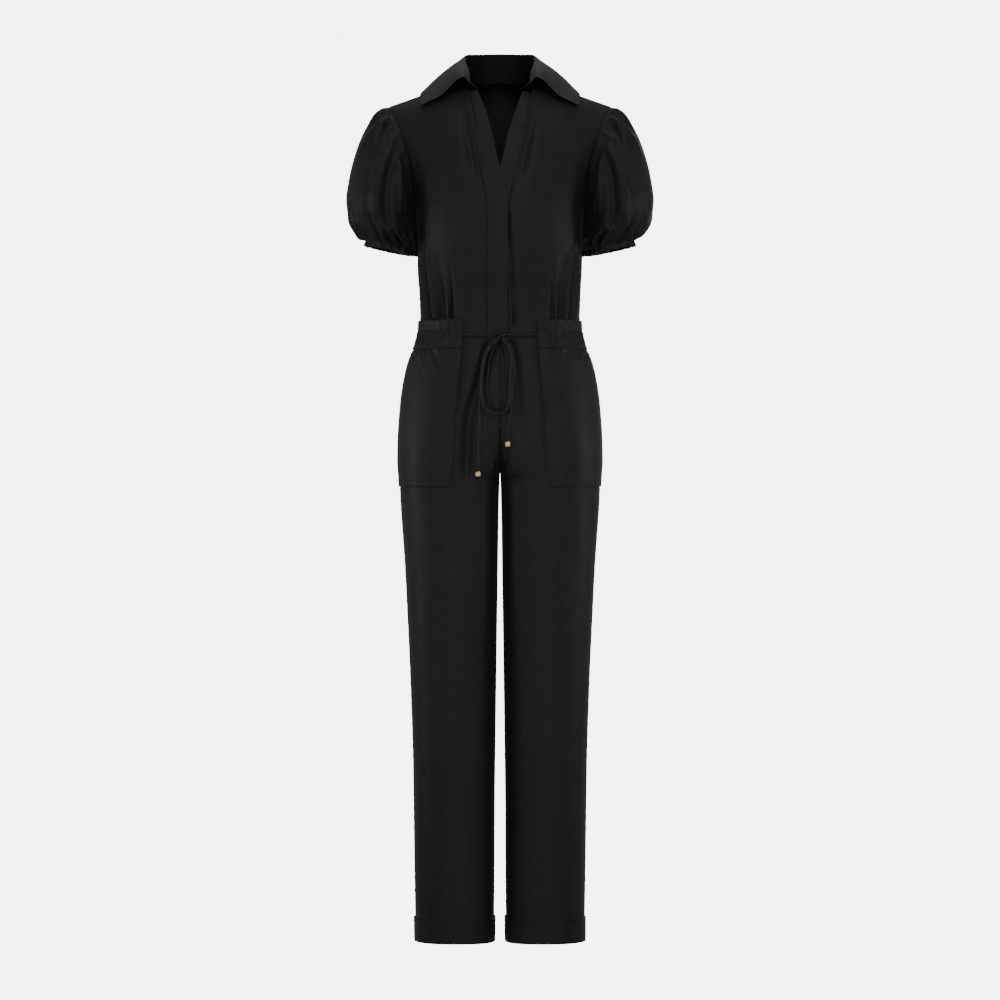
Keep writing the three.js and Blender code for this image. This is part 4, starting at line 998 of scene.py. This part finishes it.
def sleeveForm(ring, turn):
    along = (1 + np.cos(turn)) / 2
    onFront = turn < np.pi
    fade = np.maximum(0, 1 - ring / 2)
    scoop = np.where(onFront, shoulder["scoopFront"], shoulder["scoopBack"]) * fade
    side = np.where(onFront, shoulder["deepFront"], shoulder["deepBack"])
    depth = lerp(side, sleeveAt["depth"](ring), np.minimum(1, ring))
    # the sleeve leaves a gap beside the chest and lies against the body behind its side line
    scoop = scoop * np.sin(turn) ** 2
    scoop = scoop + sleeveMake["tuck"] * ramp(0, 0.5, ring) * (1 + 0.6 * ramp(6, 8, ring)) * np.exp(
        -((turn - np.pi - sleeveMake["tuckTurn"]) / sleeveMake["tuckWidth"]) ** 2)
    scoop = scoop - sleeveMake["hollow"] * ramp(0.5, 3, ring) * np.exp(
        -((turn - np.pi - sleeveMake["hollowTurn"]) / sleeveMake["hollowWidth"]) ** 2)
    return np.stack([
        lerp(sleeveAt["inX"](ring), sleeveAt["outX"](ring), along) - scoop,
        -depth * np.sin(turn),
        lerp(sleeveAt["inZ"](ring), sleeveAt["outZ"](ring), along),
    ], axis=-1)


def unevenWave(turn, seed):
    # the gathers swell and shrink round the sleeve, with crests narrower than the troughs
    angle = sleeveMake["gathers"] * turn + 0.7 * np.sin(2 * turn + seed) + 0.5 * np.sin(5 * turn + 2 * seed)
    size = 1 + 0.35 * np.sin(3 * turn + seed) + 0.4 * np.sin(7 * turn - seed)
    return size * (np.cos(angle) + 0.3 * np.cos(2 * angle))


def sleevePanel(side):
    seed = sleeveMake["seed"][side]
    rings = np.concatenate([np.linspace(0, 0.5, sleeveMake["headRings"], endpoint=False),
                            np.linspace(0.5, 6, sleeveMake["bodyRings"], endpoint=False),
                            np.linspace(6, 8, sleeveMake["hemRings"])])
    turns = np.arange(sleeveMake["columns"]) * 2 * np.pi / sleeveMake["columns"]
    ring, turn = np.meshgrid(rings, turns[::-1], indexing="ij")
    points = sleeveForm(ring, turn)
    outer = outwards(points, ring=True, flat=[(-1, slice(None), 2)])
    _, v = clothPlaces(points)
    toTop = np.maximum(np.cos(turn / 2) ** 4, np.cos((2 * np.pi - turn) / 2) ** 4)
    wave = unevenWave(turn, seed)
    relief = sleeveMake["headRipple"] * toTop * ramp(0, 0.5, ring) * (1 - ramp(0.8, 2.0, ring)) * wave
    hooked = unevenWave(turn + sleeveMake["hook"] * (1 - ramp(5.5, 8, ring)), seed)
    reach = sleeveMake["gathersFrom"] + 0.55 * np.sin(3 * turn + seed) + 0.45 * np.sin(8 * turn - 2 * seed)
    grow = ramp(0, 1.5, ring - reach) * (1 - 0.6 * toTop)
    relief += (sleeveMake["hemRipple"] * grow - sleeveMake["hemPinch"] * ramp(7.2, 8, ring)) * hooked
    away, height = points[..., 0], points[..., 2]
    front = foldRelief(sleeveFolds["front"], away, height)
    back = foldRelief(sleeveFolds["back"], away, height)
    onFront = ramp(0.12, 0.5, np.sin(turn))
    onBack = ramp(0.12, 0.5, -np.sin(turn))
    relief += (front * onFront + back * onBack) * ramp(0, 0.8, ring) * (1 - ramp(7.2, 8, ring))
    upper = ramp(0, 0.3, (1 + np.cos(turn)) / 2)
    relief += seamDip(v, *sleeveMake["armholeDip"]) * upper * (1 - 0.85 * toTop)
    points = points + outer * relief[..., None]
    return mirrored(points) if side == "right" else points


def sleeveCasing(side):
    downs = edgeSpread(*casingMake["down"])
    turns = np.arange(sleeveMake["columns"]) * 2 * np.pi / sleeveMake["columns"]
    down, turn = np.meshgrid(downs, turns[::-1], indexing="ij")
    base = sleeveForm(np.full(turn.shape, 8.0), turn)
    middle = (sleeve["outX"][-1] + sleeve["inX"][-1]) / 2
    direction = np.stack([base[..., 0] - middle, base[..., 1], np.zeros(turn.shape)], axis=-1)
    direction /= np.linalg.norm(direction, axis=-1, keepdims=True)
    first, more = casingMake["frill"]
    frill = unevenWave(turn, sleeveMake["seed"][side]) * (first + more * down) + casingMake["flare"] * down
    frill += seamDip(down - 0.45, casingMake["groove"], 0.1)
    points = base + direction * frill[..., None]
    points[..., 2] -= 0.2 + casingMake["depth"] * down
    return mirrored(points) if side == "right" else points


casings = {side: sleeveCasing(side) for side in ("left", "right")}
for side, casing in casings.items():
    sew("sleeve_" + side, sleevePanel(side), sleeveMake["thickness"], crepe, ring=True,
        flat=(0.42, 0.23), area=0.083, held="gathered", rests_on=["bodice_front_" + side])
    sew("sleeve_hem_" + side, casing, casingMake["thickness"], crepe, ring=True,
        flat=(0.36, 0.011), held="gathered", rests_on=["sleeve_" + side])
print("sleeves gathered")

# trousers
trouserCut = {"topRows": 24, "hipRows": 74, "legRows": 106, "topEnd": -470, "hipEnd": -700,
              "across": (66, 220), "thickness": 0.9, "flatSide": 7, "flatInner": 5, "innerDip": (0.9, 1.6),
              "sidePucker": (0.22, 17), "innerPucker": (0.2, 14)}     # height and pitch
waistGathers = {"height": 1.5, "pitch": 8.0, "top": -442, "drop": 26.0, "from": 54.0, "full": 64.0}


def gathersUnderBand(x, z):
    # the cloth ripples where it goes in under the elastic
    away = np.abs(x)
    drop = (waistGathers["top"] - z) / waistGathers["drop"]
    lean = away + 4 * np.sin(away * 0.21) + 6 * drop
    wave = np.cos(lean * 2 * np.pi / waistGathers["pitch"]) * (0.7 + 0.3 * np.sin(away * 0.37))
    fade = np.exp(-np.clip(drop, 0, 9) ** 1.3) * ramp(waistGathers["from"], waistGathers["full"], away)
    return waistGathers["height"] * wave * fade


pocket = {"innerTop": 62.0, "innerBottom": 82.0, "top": -442.5, "bottom": -668.0, "lift": 2.4,
          "down": (92, 226, 4.0, 5), "across": (56, 110, 4.0, 5), "thickness": 1.3, "edgeRound": 1.2,
          "stitchInset": 5.5, "secondInset": 1.8, "groove": (0.45, 1.1), "secondGroove": (0.2, 0.6),
          "sag": 0.5, "shadow": 1.2}
# the trouser front is pressed in a little along the edge of the pocket
pressed = [(-1.5, 1.3, 0.0, 0.001, 0.001, [
    (pocket["innerTop"] - pocket["shadow"], pocket["top"]),
    (pocket["innerBottom"] - pocket["shadow"], pocket["bottom"] - pocket["shadow"]),
    (170, pocket["bottom"] - pocket["shadow"])])]


def trouserRelief(face, side, points):
    name = ("front" if face < 0 else "back") + side.capitalize()
    sideways = -1 if side == "right" else 1
    relief = foldRelief(trouserFolds[name], sideways * points[..., 0], points[..., 2])
    return relief + gathersUnderBand(points[..., 0], points[..., 2])


def trouserPanel(face, side):
    topEnd, hipEnd = trouserCut["topEnd"], trouserCut["hipEnd"]
    heights = np.concatenate([np.linspace(levels["waist"], topEnd, trouserCut["topRows"], endpoint=False),
                              np.linspace(topEnd, hipEnd, trouserCut["hipRows"], endpoint=False),
                              np.linspace(hipEnd, levels["hem"], trouserCut["legRows"])])
    turns = edgeSpread(*trouserCut["across"])
    z, turn = np.meshgrid(heights, turns, indexing="ij")
    points = trouser(face, z, turn)
    below = heights < levels["crotch"]
    if face > 0:
        points = points[:, ::-1]
    inner, outerColumn = (0, -1) if face < 0 else (-1, 0)
    flat = [(slice(None), outerColumn, 1), (below, inner, 1), (~below, inner, 0)]
    outer = outwards(points, flat=flat)
    u, v = clothPlaces(points)
    fromFirst, fromLast = u, u[:, -1:] - u
    fromSide, fromInner = (fromLast, fromFirst) if face < 0 else (fromFirst, fromLast)
    relief = trouserRelief(face, side, points)
    if face < 0:
        relief += foldRelief(pressed, points[..., 0], points[..., 2])
    relief *= ramp(0, trouserCut["flatSide"], fromSide) * ramp(0, trouserCut["flatInner"], fromInner)
    relief += seamDip(fromSide) + seamDip(fromInner, *trouserCut["innerDip"])
    relief += seamPuckers(v, fromSide, *trouserCut["sidePucker"])
    relief += seamPuckers(v, fromInner, *trouserCut["innerPucker"])
    points = points + outer * relief[..., None]
    return mirrored(points) if side == "right" else points


def pocketPanel(side):
    down = edgeSpread(*pocket["down"])
    heights = lerp(pocket["top"], pocket["bottom"], down)
    spread = edgeSpread(*pocket["across"])
    start = turnAt(lerp(pocket["innerTop"], pocket["innerBottom"], down), heights)
    turn = lerp(start[:, None], 1, spread[None, :])
    z = np.repeat(heights[:, None], len(spread), axis=1)
    points = trouser(-1, z, turn)
    outer = outwards(points, flat=[(slice(None), -1, 1)])
    u, v = clothPlaces(points)
    fromSide, fromBottom = u[:, -1:] - u, v[-1:] - v
    relief = trouserRelief(-1, side, points) * ramp(0, trouserCut["flatSide"], fromSide)
    edges = np.minimum(u, fromBottom)
    relief += pocket["lift"] + softEdge(np.minimum(edges, fromSide), pocket["edgeRound"])
    relief += seamDip(edges - pocket["stitchInset"], *pocket["groove"])
    relief += seamDip(edges - pocket["secondInset"], *pocket["secondGroove"])
    relief += pocket["sag"] * np.sin(u * 0.09) * ramp(30, 0, fromBottom) * ramp(0, 20, fromSide)
    points = points + outer * relief[..., None]
    return mirrored(points) if side == "right" else points


turnUp = {"top": -1381.0, "sag": 6.0, "bottom": -1421.0, "lift": 2.4, "thickness": 1.8,
          "down": (16, 40, 2.5, 5), "across": (70, 220), "edgeRound": 1.3, "crease": 12,
          "creaseDip": (0.35, 2.2), "sway": 0.4, "seed": {"left": 0.6, "right": 2.1}}


def cuffPanel(side):
    turns = edgeSpread(*turnUp["across"])
    turn = np.concatenate([turns, turns[-2:0:-1]])
    face = np.concatenate([np.full(len(turns), -1), np.full(len(turns) - 2, 1)])
    downs = edgeSpread(*turnUp["down"])
    rows = []
    for down in downs:
        top = turnUp["top"] - turnUp["sag"] * np.sin(np.pi * turn) ** 2
        z = lerp(top, turnUp["bottom"], down)
        front, back = trouser(-1, z, turn), trouser(1, z, turn)
        rows.append(np.where((face < 0)[:, None], front, back))
    points = np.stack(rows)
    outer = outwards(points, ring=True)
    _, v = clothPlaces(points)
    edges = np.minimum(v, v[-1:] - v)
    relief = turnUp["lift"] + softEdge(edges, turnUp["edgeRound"])
    relief += seamDip(v - turnUp["crease"], *turnUp["creaseDip"])      # an old crease round the turn-up
    relief += turnUp["sway"] * np.sin(turn * 11 + turnUp["seed"][side]) * ramp(1, 0.2, downs)[:, None]
    points = points + outer * relief[..., None]
    return mirrored(points) if side == "right" else points


pockets = {side: pocketPanel(side) for side in ("left", "right")}
for side, patch in pockets.items():
    for face, part in ((-1, "front"), (1, "back")):
        sew("trouser_" + part + "_" + side, trouserPanel(face, side), trouserCut["thickness"], crepe,
            flat=(0.27, 1.01), area=0.24, held="hung", rests_on=["waistband_" + side])
    sew("pocket_" + side, patch, pocket["thickness"], crepe,
        flat=(0.155, 0.232), area=0.0315, held="hung", rests_on=["trouser_front_" + side])
    sew("cuff_" + side, cuffPanel(side), turnUp["thickness"], crepe, ring=True,
        flat=(0.385, 0.046), area=0.0165, held="folded", rests_on=["trouser_front_" + side])
print("trousers hung")

# the waistband: a plain header, a puckered elastic channel and a lower header, to the centre back
waistband = {"top": -393.5, "bottom": -441.8, "end": 61.0, "lift": 3.4, "puckers": 74, "height": 0.75,
             "channelTop": -411.5, "channelBottom": -432.5, "down": (18, 48, 3.0, 5),
             "across": (400, 330, 3.0, 5), "thickness": 1.7, "edgeRound": 1.2, "groove": (1.3, 1.1),
             "channelLift": 0.6, "headerShare": 0.1, "broadShare": 0.4,
             "seed": {"left": 0.7, "right": 2.4}}


def waistbandPanel(side):
    seed = waistband["seed"][side]
    heights = lerp(waistband["top"], waistband["bottom"], edgeSpread(*waistband["down"]))
    rows = []
    for z in heights:
        first = math.asin((waistband["end"] / torsoHalf(z)) ** (ovalPower / 2))
        turn = lerp(first, math.pi - 0.002, edgeSpread(*waistband["across"]))     # to the centre back
        sine = np.abs(np.sin(turn)) ** (2 / ovalPower)
        cosine = np.abs(np.cos(turn)) ** (2 / ovalPower)
        y = np.where(np.cos(turn) > 0, -torsoFront(z), torsoBack(z)) * cosine
        rows.append(np.stack([torsoHalf(z) * sine, y, np.full(turn.shape, z)], axis=-1))
    points = np.stack(rows)
    outer = outwards(points, flat=[(slice(None), -1, 0)])
    u, v = clothPlaces(points)
    pitch = u[len(heights) // 2, -1] / waistband["puckers"]
    bend = 0.5 * np.sin(v * 0.16 + u * 0.03)
    wave = np.cos(2 * np.pi * u / pitch + bend + 0.8 * np.sin(u * 0.09 + seed))
    broad = np.cos(0.62 * np.pi * u / pitch + 1.4 * np.sin(u * 0.05 + seed))
    z = points[..., 2]
    channel = ramp(waistband["channelTop"] + 3, waistband["channelTop"] - 2, z)
    channel *= ramp(waistband["channelBottom"] - 3, waistband["channelBottom"] + 2, z)
    plainEnd = ramp(9, 16, u)
    ruffle = lerp(waistband["headerShare"], 1, channel) * wave + waistband["broadShare"] * broad
    relief = waistband["lift"] + plainEnd * waistband["height"] * ruffle
    relief += waistband["channelLift"] * channel
    for line in ("channelTop", "channelBottom"):
        relief += seamDip(z - waistband[line], *waistband["groove"])
    edges = np.minimum(np.minimum(u, v), v[-1:] - v)
    relief += softEdge(edges, waistband["edgeRound"])
    points = points + outer * relief[..., None]
    return mirrored(points) if side == "right" else points


waistbands = {side: waistbandPanel(side) for side in ("left", "right")}
for side, band in waistbands.items():
    sew("waistband_" + side, band, waistband["thickness"], crepe,
        flat=(0.36, 0.05), area=0.0175, held="gathered", rests_on=["trouser_front_" + side])
print("waistband gathered")

# topstitching: short raised threads along lines on the finished surfaces
stitch = {"pitch": 3.2, "length": 2.3, "width": 0.55, "height": 0.28, "softAngle": 60,
          "uvAlong": 0.3, "uvAcross": 0.05,
          "profile": ((-0.5, 0.35), (-0.3, 0.9), (0.3, 0.9), (0.5, 0.35)),     # shares of length and width
          "section": ((1, 0), (0.6, 1), (-0.6, 1), (-1, 0), (0, -0.8))}


def stitchLine(points, route):
    # route gives rows and columns on a sheet, which become evenly spaced places with directions
    rows, columns = (np.array(part, float) for part in zip(*route))
    share = np.linspace(0, 1, len(rows))
    fine = np.linspace(0, 1, 40 * len(rows))
    r, c = np.interp(fine, share, rows), np.interp(fine, share, columns)
    line, normal = sample(points, r, c), sample(outwards(points), r, c)
    steps = np.concatenate([[0], np.cumsum(np.linalg.norm(np.diff(line, axis=0), axis=1))])
    at = np.arange(stitch["pitch"] / 2, steps[-1], stitch["pitch"])
    place = np.stack([np.interp(at, steps, line[:, k]) for k in range(3)], axis=-1)
    ahead = np.stack([np.interp(at + 0.5, steps, line[:, k]) for k in range(3)], axis=-1) - place
    up = np.stack([np.interp(at, steps, normal[:, k]) for k in range(3)], axis=-1)
    return place, ahead, up


def sample(values, r, c):
    i = np.clip(r.astype(int), 0, values.shape[0] - 2)
    j = np.clip(c.astype(int), 0, values.shape[1] - 2)
    a, b = (r - i)[:, None], (c - j)[:, None]
    top = lerp(values[i, j], values[i, j + 1], b)
    return lerp(top, lerp(values[i + 1, j], values[i + 1, j + 1], b), a)


def stitches(name, lines):
    profile, section = stitch["profile"], stitch["section"]
    sides = len(section)
    vertices, faces = [], []
    for places, aheads, ups in lines:
        norms = np.linalg.norm(aheads, axis=1)
        for at, ahead, up in zip(places[norms > 1e-6], aheads[norms > 1e-6], ups[norms > 1e-6]):
            ahead = ahead / np.linalg.norm(ahead)
            up = up / np.linalg.norm(up)
            across = np.cross(up, ahead)
            base = len(vertices)
            for share, wide in profile:
                for x, y in section:
                    vertices.append(at + ahead * share * stitch["length"]
                                    + across * x * wide * stitch["width"] / 2
                                    + up * y * wide * stitch["height"])
            for first in range(base, base + sides * (len(profile) - 1), sides):
                for k in range(sides):
                    after = (k + 1) % sides
                    faces.append([first + k, first + after, first + sides + after, first + sides + k])
            faces.append([base + k for k in range(sides - 1, -1, -1)])
            faces.append([len(vertices) - sides + k for k in range(sides)])
    piece = solidPiece(name, np.array(vertices), faces, stitch["softAngle"], lambda vertex: (
        vertex % (sides * len(profile)) * stitch["uvAlong"], vertex * stitch["uvAcross"]))
    finish(piece, [], thread)


def insetRoute(points, sides, inset):
    # rows and columns that lie at one distance from a sheet's edges, or on them
    u, v = clothPlaces(points)
    rows, columns = points.shape[:2]
    middleU, middleV = u[rows // 2], v[:, columns // 2]
    at = {"head": 0.0, "foot": rows - 1.0, "start": 0.0, "end": columns - 1.0,
          "top": np.interp(inset, middleV, np.arange(rows)),
          "bottom": np.interp(middleV[-1] - inset, middleV, np.arange(rows)),
          "first": np.interp(inset, middleU, np.arange(columns)),
          "last": np.interp(middleU[-1] - inset, middleU, np.arange(columns))}
    return [(at[row], at[column]) for row, column in sides]


def insetStitches(points, sides, inset):
    # a line of stitches along each stretch between two corners
    route = insetRoute(points, sides, inset)
    return [stitchLine(points, route[k:k + 2]) for k in range(len(route) - 1)]


bandEdge = bands["stitchInset"]
stitches("stitches_front_band",
         insetStitches(overBand, [("head", "first"), ("foot", "first")], bandEdge)
         + insetStitches(overBand, [("head", "last"), ("foot", "last")], bandEdge)
         + insetStitches(underBand, [("head", "first"), ("foot", "first")], bandEdge))
stitches("stitches_collar", insetStitches(
    fallPoints, [("head", "first"), ("bottom", "first"), ("bottom", "last"), ("head", "last")],
    collarMake["stitchInset"]))
for side in ("left", "right"):
    inner, outer = ("last", "start") if side == "right" else ("first", "end")
    corners = [("head", inner), ("bottom", inner), ("bottom", outer)]
    stitches("stitches_pocket_" + side,
             insetStitches(pockets[side], corners, pocket["stitchInset"])
             + insetStitches(pockets[side], corners, pocket["secondInset"]))
    band = waistbands[side]
    heights = band[:, waistband["across"][0] // 2, 2]
    lines = []
    for level in (waistband["channelTop"], waistband["channelBottom"]):
        row = float(np.interp(-level, -heights, np.arange(len(heights))))
        lines.append(stitchLine(band, [(row, 1.0), (row, band.shape[1] - 2.0)]))
    stitches("stitches_waistband_" + side, lines)
    rows, columns = casings[side].shape[:2]
    stitches("stitches_sleeve_hem_" + side,
             [stitchLine(casings[side], [(rows / 2, 0.0), (rows / 2, columns - 1.0)])])
print("topstitching sewn")

# studio
studio = {"floor": -1.462, "floorReach": 14.0, "white": 6.0, "floorGlow": 0.03, "air": 0.25,
          "lights": (     # name, place, what it faces, size across and up, power, spread in degrees
              ("keyLight", (0.35, -2.6, 2.4), (0, 0, -0.55), (1.5, 1.1), 36.0, 180),
              ("fillLight", (0.0, -3.6, -0.5), (0, 0, -0.5), (1.2, 1.4), 25.0, 180),
              ("fillLightRight", (-1.9, -3.0, -0.55), (0, 0, -0.5), (1.2, 1.4), 6.5, 180),
              ("fillLightLeft", (1.9, -3.0, -0.55), (0, 0, -0.5), (1.2, 1.4), 5.5, 180),
              ("topLight", (0.0, 0.35, 1.7), (0, 0, -0.2), (1.6, 0.8), 7.5, 180),
              ("sideLightRight", (-2.5, -0.3, -0.45), (0, 0, -0.58), (0.6, 0.9), 1.15, 36),
              ("sideLightLeft", (2.5, -0.3, -0.45), (0, 0, -0.58), (0.6, 0.9), 1.05, 36),
              ("backLight", (0.4, 3.4, 0.1), (0, 0, -0.6), (1.8, 1.2), 34.0, 180),
          )}


def lamp(name, location, aim, size, power, spread):
    bpy.ops.object.light_add(type="AREA", location=location)
    light = bpy.context.object
    light.name = name
    light.data.shape = "RECTANGLE"
    light.data.size, light.data.size_y = size
    light.data.energy = power
    light.data.spread = math.radians(spread)
    direction = np.array(aim) - np.array(location)
    light.rotation_euler = (math.atan2(math.hypot(direction[0], direction[1]), -direction[2]), 0,
                            math.atan2(direction[1], direction[0]) - math.pi / 2)


for lampValues in studio["lights"]:
    lamp(*lampValues)

bpy.ops.mesh.primitive_plane_add(size=studio["floorReach"] * 2, location=(0, 0, studio["floor"]))
floor = bpy.context.object
floor.name = "floor"
floorPaint, paintTree, paint = newMaterial("palePaper")
paint.inputs["Base Color"].default_value = (0.5, 0.5, 0.5, 1)
paint.inputs["Roughness"].default_value = 0.9
paint.inputs["Emission Strength"].default_value = 1.0
seen = paintTree.nodes.new("ShaderNodeLightPath")
glow = mathNode(paintTree, "MULTIPLY", seen.outputs["Is Camera Ray"], studio["white"])
paintTree.links.new(mathNode(paintTree, "MAXIMUM", glow, studio["floorGlow"]), paint.inputs["Emission Color"])
floor.data.materials.append(floorPaint)

world = bpy.data.worlds.new("studioAir")
bpy.context.scene.world = world
world.use_nodes = True
airTree = world.node_tree
air = airTree.nodes["Background"]
backdrop = airTree.nodes.new("ShaderNodeBackground")
for background, strength in ((air, studio["air"]), (backdrop, studio["white"])):
    background.inputs["Color"].default_value = (1, 1, 1, 1)
    background.inputs["Strength"].default_value = strength
chooser = airTree.nodes.new("ShaderNodeMixShader")
rays = airTree.nodes.new("ShaderNodeLightPath")
airTree.links.new(rays.outputs["Is Camera Ray"], chooser.inputs["Fac"])
airTree.links.new(air.outputs["Background"], chooser.inputs[1])
airTree.links.new(backdrop.outputs["Background"], chooser.inputs[2])
airTree.links.new(chooser.outputs["Shader"], airTree.nodes["World Output"].inputs["Surface"])
print("studio lit")
